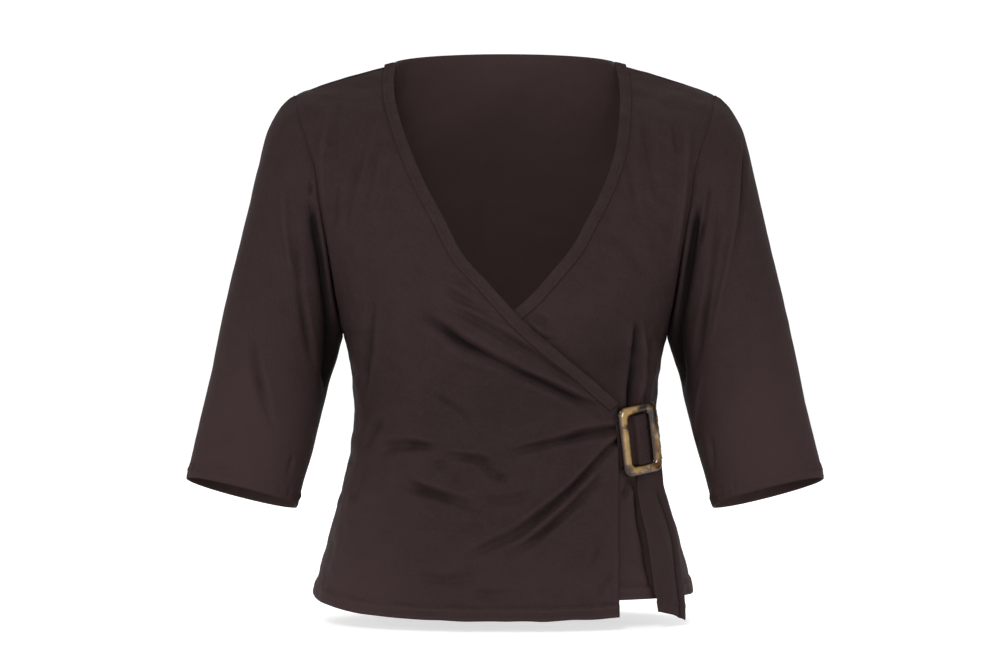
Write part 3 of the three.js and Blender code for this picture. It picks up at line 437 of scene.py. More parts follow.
def fold_relief(flat_u, flat_v, folds, place=None):
    """How far the folds move each point out of the cloth, in millimetres."""
    relief = np.zeros_like(flat_u)
    for number, (deep, wide, lip, fade_in, fade_out, path) in enumerate(folds):
        line = spline_samples(path if place is None else [place(*point) for point in path])
        along = np.gradient(line, axis=0)
        along /= np.linalg.norm(along, axis=1)[:, None]
        low, high = line.min(0) - 4 * wide, line.max(0) + 4 * wide
        near = (flat_u > low[0]) & (flat_u < high[0]) & (flat_v > low[1]) & (flat_v < high[1])
        if not near.any():
            continue
        gap_u = flat_u[near][:, None] - line[None, :, 0]
        gap_v = flat_v[near][:, None] - line[None, :, 1]
        nearest = np.argmin(gap_u**2 + gap_v**2, axis=1)
        pick = np.arange(len(nearest))
        du, dv = gap_u[pick, nearest], gap_v[pick, nearest]
        side = -along[nearest, 1] * du + along[nearest, 0] * dv
        past = along[nearest, 0] * du + along[nearest, 1] * dv
        share = nearest / (len(line) - 1)
        fade = np.ones_like(share)
        if fade_in:
            fade = fade * smooth(0, fade_in, share)
        if fade_out:
            fade = fade * smooth(0, fade_out, 1 - share)
        fade = fade * np.exp(-(past / (1.2 * wide)) ** 2)
        uneven = 1 + 0.18 * np.sin(9 * share + 1.7 * number) + 0.08 * np.sin(23 * share + number)
        width = NARROWER * wide * (1 + 0.15 * np.sin(7 * share + 2.3 * number)) * (0.75 + 0.25 * fade)
        across = side / width
        shape = -np.exp(-across**2) + lip * np.exp(-((across - 1.75) / 1.15) ** 2)
        shape += 0.5 * lip * np.exp(-((across + 1.9) / 1.3) ** 2)
        relief[near] += DEEPER * deep * uneven * fade * shape
    return relief


def wander(points, size, seed):
    """Slow unevenness, the same at the same place on every run."""
    shift = Vector((seed * 3.1, seed * 7.7, seed * 1.3))
    flat = points.reshape(-1, 3) / size
    return np.array([noise.noise(Vector(p) + shift) for p in flat]).reshape(points.shape[:-1])

print("the deepest fold, mm:", round(DEEPER * max(fold[0] for fold in FRONT_FOLDS), 1))

# %% [markdown]
# Each panel is one thin shell: an outer sheet of points, an inner sheet 0.9 mm inside it, and a rim that
# joins them where the cloth was cut. The cut edges at seams turn in by a millimetre and a half, as a seam
# allowance pulls them, so that two panels meet in a groove. Each shell keeps its own flat coordinates for
# the knit.

# %% Cloth shells
CLOTH = 0.9
GRID, FRONT_GRID = 2.6, 2.0
# The knit's reverse has no sheen and looks a little paler
REVERSE = -0.75
FORWARD, BACKWARD = np.array([0.0, -1.0, 0.0]), np.array([0.0, 1.0, 0.0])


def normals_of(grid, ringed, outward):
    rows = np.gradient(grid, axis=0)
    if ringed:
        cols = (np.roll(grid, -1, axis=1) - np.roll(grid, 1, axis=1)) / 2
    else:
        cols = np.gradient(grid, axis=1)
    normal = np.cross(cols, rows)
    normal /= np.maximum(np.linalg.norm(normal, axis=-1), 1e-9)[..., None]
    turned = np.sum(normal * outward, -1)
    return normal * (1 if np.median(turned) > 0 else -1)


def flat_size(grid, ringed=False):
    """How far each point lies across and along its own cloth, in millimetres."""
    across = walked(grid, axis=1)
    if not ringed:
        across = across - across[:, -1:] / 2
    lengths = np.linalg.norm(np.diff(grid, axis=0), axis=-1).mean(1)
    along = np.concatenate([[0], np.cumsum(lengths)])[:, None] * np.ones_like(across)
    return across, along


def make_mesh(name, points, faces, uv=None, smooth_faces=True, marks=None):
    """A mesh from points in millimetres. The marks are numbers that its material reads at each point."""
    mesh = bpy.data.meshes.new(name)
    places = [tuple(point) for point in np.asarray(points) * MM]
    mesh.from_pydata(places, [], [tuple(int(i) for i in face) for face in faces])
    if uv is not None:
        layer = mesh.uv_layers.new(name="cloth")
        corner = np.empty(len(mesh.loops), np.int32)
        mesh.loops.foreach_get("vertex_index", corner)
        layer.data.foreach_set("uv", (np.asarray(uv)[corner] * MM).ravel())
    for key, values in (marks or {}).items():
        mesh.attributes.new(key, "FLOAT", "POINT").data.foreach_set("value", np.asarray(values).ravel())
    mesh.polygons.foreach_set("use_smooth", [smooth_faces] * len(mesh.polygons))
    mesh.update()
    thing = bpy.data.objects.new(name, mesh)
    bpy.context.scene.collection.objects.link(thing)
    return thing


def trough_share(relief):
    """The share of painted shade in the cloth's colour: 0 on the open cloth, 1 at the bottom of a deep fold,
    and below 0, as painted light, on a ridge.
    """
    return smooth(1.5, 8.2, -relief) - 0.25 * smooth(0.3, 3.0, relief)


def shell(name, outer, normal, thick=CLOTH, ringed=False, trough=None):
    """A closed wall between a grid of points and the same grid moved in."""
    rows, cols = outer.shape[:2]
    inner = outer - normal * thick
    points = np.concatenate([outer.reshape(-1, 3), inner.reshape(-1, 3)])
    base = rows * cols
    across, along = flat_size((outer + inner) / 2, ringed)
    uv = np.concatenate([np.stack([across, along], -1).reshape(-1, 2)] * 2)
    sheet = quads(rows, cols, round_cols=ringed)

    def rim(line):
        ahead = np.roll(line, -1)
        return np.stack([ahead, line, line + base, ahead + base], 1)

    grid = np.arange(base).reshape(rows, cols)
    if ringed:
        rims = [rim(grid[0]), rim(grid[-1][::-1])]
    else:
        rims = [rim(np.concatenate([grid[0, :-1], grid[:-1, -1], grid[-1, :0:-1], grid[:0:-1, 0]]))]
    faces = np.concatenate([sheet, sheet[:, ::-1] + base] + rims)
    first = points[faces[(rows // 2) * (cols if ringed else cols - 1) + cols // 2]]
    facing = np.cross(first[1] - first[0], first[2] - first[0]) @ normal[rows // 2, cols // 2]
    if facing < 0:
        faces = faces[:, ::-1]
    # The trough mark carries painted shade above 0 and painted light below 0, and the inner sheet takes the
    # knit's paler reverse
    marks = None if trough is None else {"trough": np.concatenate([trough.ravel(), np.full(base, REVERSE)])}
    return make_mesh(name, points, faces, uv, marks=marks)


print("cloth wall", CLOTH, "mm, points every", GRID, "mm")

# %% [markdown]
# Hems are folded up twice and stitched, so the last 12 mm of cloth stand a millimetre proud. The stitch
# line puckers, because the knit stretches under the needle. Where a panel is seamed its cut edge is drawn
# in, and low on the armhole its seam allowance goes on inside the sleeve.

# %% Hems and seams
HEM, HEM_RAISE = 12.0, 1.0
SEAM_TURN = 1.5
ALLOWANCE = 4


def edge_turn(distance, wide=2.6, deep=SEAM_TURN):
    """The cut edge of a panel, drawn in by its seam."""
    return -deep * np.exp(-(distance / wide) ** 2)


def hem_relief(distance, along, seed, hem=HEM, raised=HEM_RAISE):
    """The step of a turned hem, its stitch line and the puckers on it."""
    step = raised * (1 - smooth(hem - 0.6, hem + 1.4, distance))
    flat = np.stack([along / 7.5, distance / 9, np.full_like(along, seed)], -1)
    near = distance < hem + 18
    pucker = np.zeros_like(distance)
    pucker[near] = [noise.noise(Vector(p)) for p in flat[near]]
    fine = np.zeros_like(distance)
    fine[near] = [noise.noise(Vector((p[0] * 2.7, p[1] * 2, p[2] + 9))) for p in flat[near]]
    ridge = np.exp(-((distance - hem - 1.8) / 3.0) ** 2) * (0.7 + 2.0 * pucker + 1.3 * fine)
    groove = -0.45 * np.exp(-((distance - hem + 1.2) / 0.9) ** 2)
    roll = -0.5 * np.exp(-(distance / 1.3) ** 2)
    return step + ridge + groove + roll + 0.35 * pucker * (1 - smooth(hem, hem + 14, distance))


def hem_painted_light_and_shade(distance, along, seed, hem=HEM):
    """Painted shade as an uneven dark line along the top of a turned hem, and painted light that makes the
    stitch line and the fold below it paler.
    """
    near = distance < hem + 12
    shade = np.zeros_like(distance)
    shade[near] = [
        math.exp(-((d - hem - 1 - 1.8 * noise.noise(Vector((x / 26, seed, 1)))) / 0.9) ** 2)
        * max(0, 0.42 + 0.5 * noise.noise(Vector((x / 17, seed, 4))))
        for d, x in zip(distance[near], along[near])
    ]
    stitched = 0.5 * np.exp(-((distance - hem + 2.6) / 0.8) ** 2)
    return shade - stitched - 0.5 * np.exp(-((distance - 1.2) / 1.4) ** 2)


def hem_wave(distance, along, seed):
    """How the hem's edge rises and falls, because the knit grew while it was sewn."""
    rise = np.array([noise.noise(Vector((x / 24, seed, 2))) for x in along[0]])
    return 1.0 * rise[None, :] * (1 - smooth(0, 20, distance))


def seam_allowance(outer, normal, up, column, beside):
    """Low on the armhole the panel's cloth goes on a little inside the sleeve, as a seam allowance does."""
    way = outer[:, column] - outer[:, beside]
    way = way / np.linalg.norm(way, axis=-1)[:, None] - 0.2 * normal[:, column]
    share = smooth(0.5, 0.54, up[:, column]) * (1 - smooth(0.72, 0.84, up[:, column]))
    outer[:, column] = outer[:, column] + way * (ALLOWANCE * share)[:, None]


print("hem, mm:", HEM, "seam allowance, mm:", ALLOWANCE)

# %% [markdown]
# Each panel's rows run from the hem to the shoulder. A front goes from its side seam to its free edge. The
# outer front stands over the under front where they overlap. The cloth's colour is painted paler towards the
# hem and over the hips, where it is painted light, and painted darker with painted shade on the belly and
# above the buckle.

# %% Fronts and back
LAP_LIFT, LAP_FADE = 3.2, (-40, -6)
UNDER_LIMIT = -0.945
PANEL_LENGTH = 530
ROWS, FRONT_ROWS = round(PANEL_LENGTH / GRID), round(PANEL_LENGTH / FRONT_GRID)
SEAM_FADE = 12
# A seamed side as its own column of points and the one beside it
RIGHT_SIDE, LEFT_SIDE = (0, 1), (-1, -2)


def painted_light_and_shade(points):
    """Painted light and shade in the cloth's colour: paler over the hips, where light falls, and towards the
    hem, and darker with painted shade on the belly and above the buckle.
    """
    x, z = np.abs(points[..., 0]), points[..., 2]
    # Painted shade on the belly and above the buckle
    painted_shade = 0.22 * np.exp(-((points[..., 0] + 5) / 80) ** 2 - ((z + 335) / 75) ** 2)
    painted_shade += 0.35 * np.exp(-((points[..., 0] - 95) / 26) ** 2 - ((z + 285) / 36) ** 2)
    return 0.65 * smooth(60, 150, x) * smooth(-300, -420, z) + 0.25 * smooth(-440, -500, z) - painted_shade


def front_folds(base):
    return fold_relief(base[..., 0], base[..., 2], FRONT_FOLDS)


def front_relief(base):
    slanted = base * [0.55, 1, 1] + [0, 0, 0.25] * base[..., :1]
    relief = front_folds(base) + 1.1 * wander(base, 55, 2)
    return relief + 1.15 * wander(slanted, 15, 5) + 0.4 * wander(slanted, 6, 8)


def back_folds(base):
    return fold_relief(base[..., 0], base[..., 2], BACK_FOLDS)


def back_relief(base):
    return back_folds(base) + 1.1 * wander(base, 55, 11) + 0.7 * wander(base, 17, 12)


def panel_grid(surface, low, high, rows, cols):
    up = np.linspace(0, 1, rows)[:, None] * np.ones((1, cols))
    share = np.linspace(0, 1, cols)[None, :]
    start, end = low(up[:, :1]), high(up[:, :1])
    across = start + (end - start) * share
    return across, up, surface(across, up)


def distances(grid):
    """Each point's way to the grid's four sides: first row, last row, first column, last column."""
    down, left = walked(grid), walked(grid, axis=1)
    return down, down[-1] - down, left, left[:, -1:] - left


def outer_front_height(grid, across):
    """What the outer front stands out from the form: its folds and the lap over the under front."""
    lapped = smooth(*LAP_FADE, grid[..., 0] - under_edge(grid[..., 2])) * smooth(-1, -0.95, across)
    return front_relief(grid) + LAP_LIFT * lapped


def right_end(up):
    return -np.ones_like(up)


def left_end(up):
    return np.ones_like(up)


def make_panel(name, base, normal, up, height, seamed, trough, wave_seed=None):
    """A panel's form moved out by its own relief, with the wave of its hem and its seam allowances."""
    outer = base + normal * height[..., None]
    if wave_seed:
        outer[..., 2] += hem_wave(distances(base)[0], base[..., 0], wave_seed)
    for column, beside in seamed:
        seam_allowance(outer, normal, up, column, beside)
    return shell(name, outer, normal, trough=trough)


right_across, right_up, right_base = panel_grid(
    front_point, right_end, lambda up: edge_across(front_point, up, outer_edge), FRONT_ROWS, 134,
)
right_normal = normals_of(right_base, False, FORWARD)
hem_d, shoulder_d, side_d, edge_d = distances(right_base)
height = outer_front_height(right_base, right_across) * smooth(0, SEAM_FADE, side_d)
height += hem_relief(hem_d, right_base[..., 0], 3)
height += edge_turn(side_d) + edge_turn(shoulder_d)
# The free edge below the buckle is turned in and stitched at 7 mm
straight = smooth(-318, -330, right_base[..., 2])
height += straight * (0.5 * (1 - smooth(7.5, 9.5, edge_d)) - 0.3 * np.exp(-((edge_d - 7) / 0.8) ** 2))
# The trough mark: painted shade in the folds and along the hem, and painted light and shade over the hips,
# the belly and by the buckle
trough = trough_share(front_folds(right_base)) + hem_painted_light_and_shade(hem_d, right_base[..., 0], 3) - painted_light_and_shade(right_base)
right_front = make_panel(
    "right_front_jersey", right_base, right_normal, right_up, height, [RIGHT_SIDE], trough, wave_seed=7,
)

_, left_up, left_base = panel_grid(
    under_front_point, lambda up: np.maximum(edge_across(under_front_point, up, under_edge), UNDER_LIMIT),
    left_end, FRONT_ROWS, 150,
)
left_normal = normals_of(left_base, False, FORWARD)
hem_d, shoulder_d, edge_d, side_d = distances(left_base)
height = front_relief(left_base) * smooth(0, SEAM_FADE, side_d) + hem_relief(hem_d, left_base[..., 0], 4)
height += edge_turn(side_d) + edge_turn(shoulder_d)
# The trough mark: painted shade in the folds and along the hem, and painted light and shade over the hips,
# the belly and by the buckle
trough = trough_share(front_folds(left_base)) + hem_painted_light_and_shade(hem_d, left_base[..., 0], 4) - painted_light_and_shade(left_base)
left_front = make_panel(
    "left_front_jersey", left_base, left_normal, left_up, height, [LEFT_SIDE], trough, wave_seed=7,
)

back_across, back_up, back_base = panel_grid(back_point, right_end, left_end, ROWS, 150)
back_normal = normals_of(back_base, False, BACKWARD)
hem_d, top_d, right_d, left_d = distances(back_base)
on_shoulder = smooth(back_neck_across - 0.02, back_neck_across + 0.02, np.abs(back_across))
height = back_relief(back_base) * smooth(0, SEAM_FADE, np.minimum(right_d, left_d))
height = height + hem_relief(hem_d, back_base[..., 0], 5)
height += edge_turn(right_d) + edge_turn(left_d) + edge_turn(top_d) * on_shoulder
# The back's trough mark is painted shade in its folds
back = make_panel(
    "back_jersey", back_base, back_normal, back_up, height, [RIGHT_SIDE, LEFT_SIDE],
    trough_share(back_folds(back_base)),
)
print("panels:", [(o.name, len(o.data.polygons)) for o in (right_front, left_front, back)])

# %% [markdown]
# A three-quarter sleeve is a tube that starts on the armhole and passes into its own slanted section. Each
# row of the table gives the outer and inner edge of the sleeve as seen from in front, its depth, and the
# slant of its section.

# %% Sleeves
SLEEVE_ROUNDNESS = 2.15
ARMHOLE_BLEND = 0.4
SLEEVE_ROWS_COUNT, SLEEVE_COLUMNS = 138, 140
# along, outer x, outer z, inner x, inner z, y, half depth, tilt
SLEEVE_ROWS = [
    (0.00, -201.6, -30.6, -153.0, -258.0, 3, 58.0, 0.000),
    (0.08, -213.9, -42.9, -154.6, -263.0, 1, 58.0, 0.000),
    (0.18, -226.3, -67.7, -157.0, -272.0, -2, 57.0, 0.010),
    (0.30, -234.6, -102.8, -160.3, -284.0, -5, 56.0, 0.020),
    (0.42, -242.8, -139.8, -164.5, -298.2, -9, 54.0, 0.040),
    (0.54, -253.1, -185.3, -169.5, -319.0, -14, 52.0, 0.070),
    (0.65, -262.4, -226.1, -174.5, -340.0, -19, 50.0, 0.100),
    (0.75, -269.8, -263.2, -179.0, -358.0, -24, 47.5, 0.130),
    (0.84, -276.8, -298.3, -184.0, -378.0, -28, 45.0, 0.160),
    (0.92, -289.2, -353.9, -189.0, -396.0, -32, 43.0, 0.180),
    (0.98, -296.7, -386.3, -192.8, -412.0, -35, 42.0, 0.190),
    (1.00, -298.5, -394.1, -194.8, -419.8, -35, 42.0, 0.194),
]
(
    sleeve_out_x, sleeve_out_z, sleeve_in_x, sleeve_in_z, sleeve_y, sleeve_half, sleeve_tilt,
) = columns(SLEEVE_ROWS)
RING_STEPS = np.arange(17)
RING_UPS = np.array([0.52 + 0.48 * k / 15 for k in range(15)] + [0.9885, 1.0])


def sleeve_section(side, along, turn):
    power = 2 / SLEEVE_ROUNDNESS
    angle = turn * 2 * math.pi
    c, s = squarish(np.cos(angle), power), squarish(np.sin(angle), power)
    across = (1 - c) / 2
    y = -sleeve_half(along) * s
    x = sleeve_in_x(along) + (sleeve_out_x(along) - sleeve_in_x(along)) * across
    z = sleeve_in_z(along) + (sleeve_out_z(along) - sleeve_in_z(along)) * across - sleeve_tilt(along) * y
    return np.stack(np.broadcast_arrays(-side * x, sleeve_y(along) + y, z), -1)


def armhole_ring(side, turn):
    """The armhole's edge: up its front from the underarm to the shoulder, then down its back."""
    step = np.where(turn <= 0.5, turn, 1 - turn) * 32
    up = np.interp(step, RING_STEPS, RING_UPS)
    ends = np.full_like(up, float(side))
    return np.where((turn <= 0.5)[..., None], front_point(ends, up), back_point(ends, up))


def make_sleeve(name, side, seed, folds):
    turn = (np.arange(SLEEVE_COLUMNS) / SLEEVE_COLUMNS)[None, :] * np.ones((SLEEVE_ROWS_COUNT, 1))
    along = np.linspace(0, 1, SLEEVE_ROWS_COUNT)[:, None] * np.ones((1, SLEEVE_COLUMNS))
    astray = armhole_ring(side, turn) - sleeve_section(side, np.zeros_like(turn), turn)
    grid = sleeve_section(side, along, turn) + astray * (1 - smooth(0, ARMHOLE_BLEND, along))[..., None]
    normal = normals_of(grid, True, grid - grid.mean(1, keepdims=True))
    from_armhole = walked(grid)
    from_cuff = from_armhole[-1] - from_armhole
    girth = np.linalg.norm(np.roll(grid, -1, axis=1) - grid, axis=-1).sum(1, keepdims=True)
    round_once, length = girth.mean(), from_armhole[-1].mean()
    flat_u, flat_v = turn * round_once, along * length

    def on_flat(turn_at, along_at):
        return turn_at * round_once, along_at * length

    # A fold near the underarm seam goes on across it, so the tube is measured from both sides
    relief = sum(fold_relief(flat_u + again * round_once, flat_v, folds, on_flat) for again in (-1, 0, 1))
    relief = relief * smooth(0, 12, from_armhole)
    # Painted shade in the folds and beside the body, and painted light that makes the lower half paler
    trough = trough_share(1.5 * relief) - 0.5 * smooth(0.45, 0.95, along)
    beside_body = np.interp(along, [0, 0.1, 0.22, 0.4, 0.6], [0.24, 0.14, 0.085, 0.05, 0.03])
    shade = np.exp(-((turn - beside_body) / 0.075) ** 2) * smooth(0.02, 0.16, along)
    shade = shade * (1 - smooth(0.36, 0.7, along))
    trough = trough + 0.95 * shade * (1 - np.clip(trough, 0, 1))
    relief += (0.9 * wander(grid, 50, seed) + 0.35 * wander(grid, 16, seed + 1)) * smooth(0, 15, from_armhole)
    relief += hem_relief(from_cuff, flat_u, seed + 2, hem=8, raised=0.6)
    relief += edge_turn(from_armhole, deep=1.2)
    under_seam = np.minimum(turn, 1 - turn) * girth
    relief -= 0.7 * np.exp(-(under_seam / 1.6) ** 2) * smooth(0, 30, from_armhole)
    outer = grid + normal * relief[..., None]
    start = grid[1] - grid[0]
    outer[0] = outer[0] - 0.9 * start / np.linalg.norm(start, axis=-1)[:, None]
    return shell(name, outer, normal, ringed=True, trough=trough), grid, normal, relief


right_sleeve, right_grid, right_out, right_relief = make_sleeve(
    "right_sleeve_jersey", -1, 21, RIGHT_SLEEVE_FOLDS,
)
left_sleeve, left_grid, left_out, left_relief = make_sleeve("left_sleeve_jersey", 1, 31, LEFT_SLEEVE_FOLDS)
print("sleeves:", [(o.name, len(o.data.polygons)) for o in (right_sleeve, left_sleeve)])

# %% [markdown]
# The neckline is bound with a strip of the same jersey, folded round the raw edge and sewn down with a twin
# needle. Its line is the edge of the front, and its width is measured square to that edge, on the surface
# itself.

# %% Neck bindings
BINDING = 10.0
BINDING_UP = 1.5
BINDING_END_Z = -322


def square_off(surface, across, up, way, lean):
    """The surface's coordinates `way` millimetres square to a line on it, on the lean's side."""
    spot = surface(across, up)
    tangent = np.gradient(spot, axis=0)
    tangent /= np.linalg.norm(tangent, axis=-1)[..., None]
    small = 1e-4
    leaning = surface(across + lean[0] * small, up + lean[1] * small) - spot
    inward = leaning - np.sum(leaning * tangent, -1)[..., None] * tangent
    inward /= np.linalg.norm(inward, axis=-1)[..., None]
    target = spot + inward * way
    if way <= 0:
        return across, up, target
    a, u = across.copy(), up.copy()
    for _ in range(6):
        here = surface(a, u)
        da = (surface(a + small, u) - surface(a - small, u)) / (2 * small)
        du = (surface(a, u) - surface(a, u - small)) / small
        gap = target - here
        aa, au, uu = (np.sum(p * q, -1) for p, q in ((da, da), (da, du), (du, du)))
        ga, gu = np.sum(da * gap, -1), np.sum(du * gap, -1)
        det = np.maximum(aa * uu - au * au, 1e-9)
        a = a + (ga * uu - gu * au) / det
        u = np.minimum(u + (gu * aa - ga * au) / det, 1)
    return a, u, surface(a, u)


def surface_normal(surface, a, u, outward):
    small = 1e-3
    normal = np.cross(surface(a + small, u) - surface(a - small, u), surface(a, u) - surface(a, u - small))
    normal /= np.linalg.norm(normal, axis=-1)[..., None]
    return normal * (1 if np.median(np.sum(normal * outward, -1)) > 0 else -1)


def outwards(points, faces):
    """The faces of a closed mesh, each turned round if together they look in."""
    volume = 0.0
    for face in faces:
        for k in range(1, len(face) - 1):
            volume += points[face[0]] @ np.cross(points[face[k]], points[face[k + 1]])
    return [tuple(face)[::-1] if volume < 0 else tuple(face) for face in faces]


def binding_strip(name, surface, line, height_at, outward, lean, seed):
    """A flattened tube of cloth along an edge: 10 mm across, rounded at both sides."""
    across, up = line
    stations, ring = len(across), 28
    angle = np.arange(ring) / ring * 2 * math.pi
    way = BINDING / 2 - (BINDING / 2 + 0.3) * squarish(np.cos(angle), 0.55)
    lift = 0.5 * BINDING_UP * (1 + squarish(np.sin(angle), 0.55))
    length = walked(surface(across, up))
    grid = np.zeros((stations, ring, 3))
    for k in range(ring):
        a, u, spot = square_off(surface, across, up, way[k], lean)
        normal = surface_normal(surface, a, u, outward)
        stitched = 0.4 * math.exp(-((way[k] - 6.6) / 0.8) ** 2) * (math.sin(angle[k]) > 0)
        height = height_at(spot, a) + (0.25 + lift[k] - stitched)
        if np.sin(angle[k]) > 0.2:
            height = height + np.array([
                0.32 * noise.noise(Vector((s / 3.4, way[k] / 5, seed)))
                + 0.22 * noise.noise(Vector((s / 9, 3, seed)))
                for s in length
            ])
        grid[:, k] = spot + normal * height[:, None]
    points = np.concatenate([grid.reshape(-1, 3), grid[0].mean(0)[None], grid[-1].mean(0)[None]])
    first, last, end = stations * ring, stations * ring + 1, (stations - 1) * ring
    faces = [tuple(face) for face in quads(stations, ring, round_cols=True)]
    faces += [(first, (k + 1) % ring, k) for k in range(ring)]
    faces += [(last, end + k, end + (k + 1) % ring) for k in range(ring)]
    flat_uv = np.concatenate([
        np.stack(np.broadcast_arrays(way, length[:, None]), -1).reshape(-1, 2),
        [[0, 0], [0, length[-1]]],
    ])
    return make_mesh(name, points, outwards(points, faces), flat_uv), length[-1]


def edge_ups(surface, edge, count):
    """Rows along a front's edge from the buckle's top up to the shoulder seam, evenly spread."""
    up = np.linspace(0.2, 1, 400)
    spot = surface(edge_across(surface, up, edge), up)
    keep = spot[:, 2] >= BINDING_END_Z
    up, spot = up[keep], spot[keep]
    reach = walked(spot)
    up = np.interp(np.linspace(0, reach[-1], count), reach, up)
    return edge_across(surface, up, edge), up


# surface, line on it, height over the form, facing, lean in across and up
BINDINGS = {
    "neck_binding_right": (
        front_point, edge_ups(front_point, outer_edge, 230), outer_front_height, FORWARD, (-1, 0),
    ),
    "neck_binding_left": (
        under_front_point, edge_ups(under_front_point, under_edge, 210), lambda spot, a: front_relief(spot),
        FORWARD, (1, 0),
    ),
    "neck_binding_back": (
        back_point, (np.linspace(-back_neck_across, back_neck_across, 150), np.ones(150)),
        lambda spot, a: back_relief(spot), BACKWARD, (0, -1),
    ),
}
bindings = [binding_strip(name, *given, seed) for seed, (name, given) in enumerate(BINDINGS.items(), 1)]
print("bindings, mm long:", [round(length) for _, length in bindings])

# %% [markdown]
# The buckle is cut from a sheet of cellulose acetate, tumbled until its edges are round and then polished.
# Its frame is one ring: at each station round it, a flattened oval runs from the outer outline to the
# window's.

# %% Buckle
BUCKLE_CENTRE = np.array([125.0, -68.8, -355.6])
BUCKLE_ROLL, BUCKLE_YAW = 8.5, 38
BUCKLE_WIDTH, BUCKLE_HEIGHT, BUCKLE_THICK = 46, 65, 5
SIDE_BAR, END_BAR = 10, 9
OUTER_CORNER, WINDOW_CORNER = 8, 4
roll, yaw = math.radians(BUCKLE_ROLL), math.radians(BUCKLE_YAW)
buckle_out = np.array([math.sin(yaw), -math.cos(yaw), 0])
level = np.array([math.cos(yaw), math.sin(yaw), 0])
buckle_across = level * math.cos(roll) + np.array([0, 0, math.sin(roll)])
buckle_up = np.array([0, 0, math.cos(roll)]) - level * math.sin(roll)


def from_buckle(points):
    points = np.asarray(points, float)
    x, y, z = points[..., :1], points[..., 1:2], points[..., 2:3]
    return BUCKLE_CENTRE + x * buckle_across + y * buckle_up + z * buckle_out


def rounded_outline(half_width, half_height, corner, side_points=14, corner_points=12):
    """Stations round a rounded rectangle, the same number on each side and corner."""
    arcs = []
    for quarter in range(4):
        centre_x = (half_width - corner) * (1 if quarter in (0, 3) else -1)
        centre_y = (half_height - corner) * (1 if quarter in (0, 1) else -1)
        angles = [math.pi / 2 * (quarter + k / corner_points) for k in range(corner_points + 1)]
        arcs.append([(centre_x + corner * math.cos(t), centre_y + corner * math.sin(t)) for t in angles])
    points = []
    for quarter in range(4):
        points += arcs[quarter]
        start, end = np.array(arcs[quarter][-1]), np.array(arcs[(quarter + 1) % 4][0])
        points += [tuple(start + (end - start) * k / side_points) for k in range(1, side_points)]
    return np.array(points)


outline = rounded_outline(BUCKLE_WIDTH / 2, BUCKLE_HEIGHT / 2, OUTER_CORNER)
window = rounded_outline(BUCKLE_WIDTH / 2 - SIDE_BAR, BUCKLE_HEIGHT / 2 - END_BAR, WINDOW_CORNER)
RING, BAR_RING = 32, 16
SECTION_POWER, CROWN = 0.78, 0.6
turn = np.arange(RING) / RING * 2 * math.pi
across_bar, through = squarish(np.cos(turn), SECTION_POWER), squarish(np.sin(turn), SECTION_POWER)
centre, half = (outline + window) / 2, (outline - window) / 2
plane = centre[:, None, :] + half[:, None, :] * across_bar[None, :, None]
depth = (BUCKLE_THICK / 2 - CROWN + CROWN * (1 - across_bar**2)) * through
frame_grid = np.concatenate([plane, np.broadcast_to(depth, plane.shape[:2])[..., None]], -1)
# The centre bar, which the strap and the loop go round
BAR_ENDS_IN, BAR_HALF_WIDTH, BAR_HALF_THICK, BAR_BACK = 2.5, 2.5, 1.2, -1.0
bar_half = BUCKLE_HEIGHT / 2 - END_BAR + BAR_ENDS_IN
bar = np.array([
    [BAR_HALF_WIDTH * math.cos(t), height, BAR_BACK + BAR_HALF_THICK * math.sin(t)]
    for height in (-bar_half, bar_half) for t in np.arange(BAR_RING) / BAR_RING * 2 * math.pi
])
start = len(outline) * RING
bar_faces = [tuple(face) for face in quads(2, BAR_RING, round_cols=True) + start]
bar_faces += [
    tuple(range(start + BAR_RING - 1, start - 1, -1)), tuple(range(start + BAR_RING, start + 2 * BAR_RING)),
]
points = from_buckle(np.concatenate([frame_grid.reshape(-1, 3), bar]))
faces = outwards(points, quads(len(outline), RING, True, True)) + outwards(points, bar_faces)
rim = np.concatenate([np.tile(across_bar, len(outline)), np.zeros(len(bar))])
buckle = make_mesh("buckle_acetate", points, faces, marks={"rim": rim})
print("buckle, mm:", BUCKLE_WIDTH, "x", BUCKLE_HEIGHT, "x", BUCKLE_THICK)

# %% [markdown]
# The strap is the outer front's own end. It goes behind the buckle's left bar, over the centre bar and
# behind the right one, gathered to 46 mm, so it lies in lengthwise pleats. The loop that holds the buckle
# from the other side goes round the same bar. The tail hangs from behind the buckle, with its sides folded
# in and a stitched hem.

# %% Strap, loop and tail
STRAP_LINE = [
    (-23.4, -4.9), (-19, -4.3), (-12, -4.5), (-8.5, -4.4), (-6.4, -2.4), (-5.2, 0.9), (-3.4, 2.3), (0, 2.55),
    (4.0, 2.3), (7.5, 1.3), (10.2, -0.8), (12.2, -2.9), (14.5, -3.4), (22, -3.45), (27, -3.8),
]
LOOP_LINE = [
    (3.6, -0.9), (2.8, 1.0), (0, 1.15), (-2.8, 1.0), (-3.6, -0.9), (-2.9, -3.1), (0, -3.4),
    (4.5, -3.8), (9, -5.4),
    (20, -6.4), (28, -10.0), (38.2, -19.5), (47.0, -31.5), (54.6, -40.0),
]


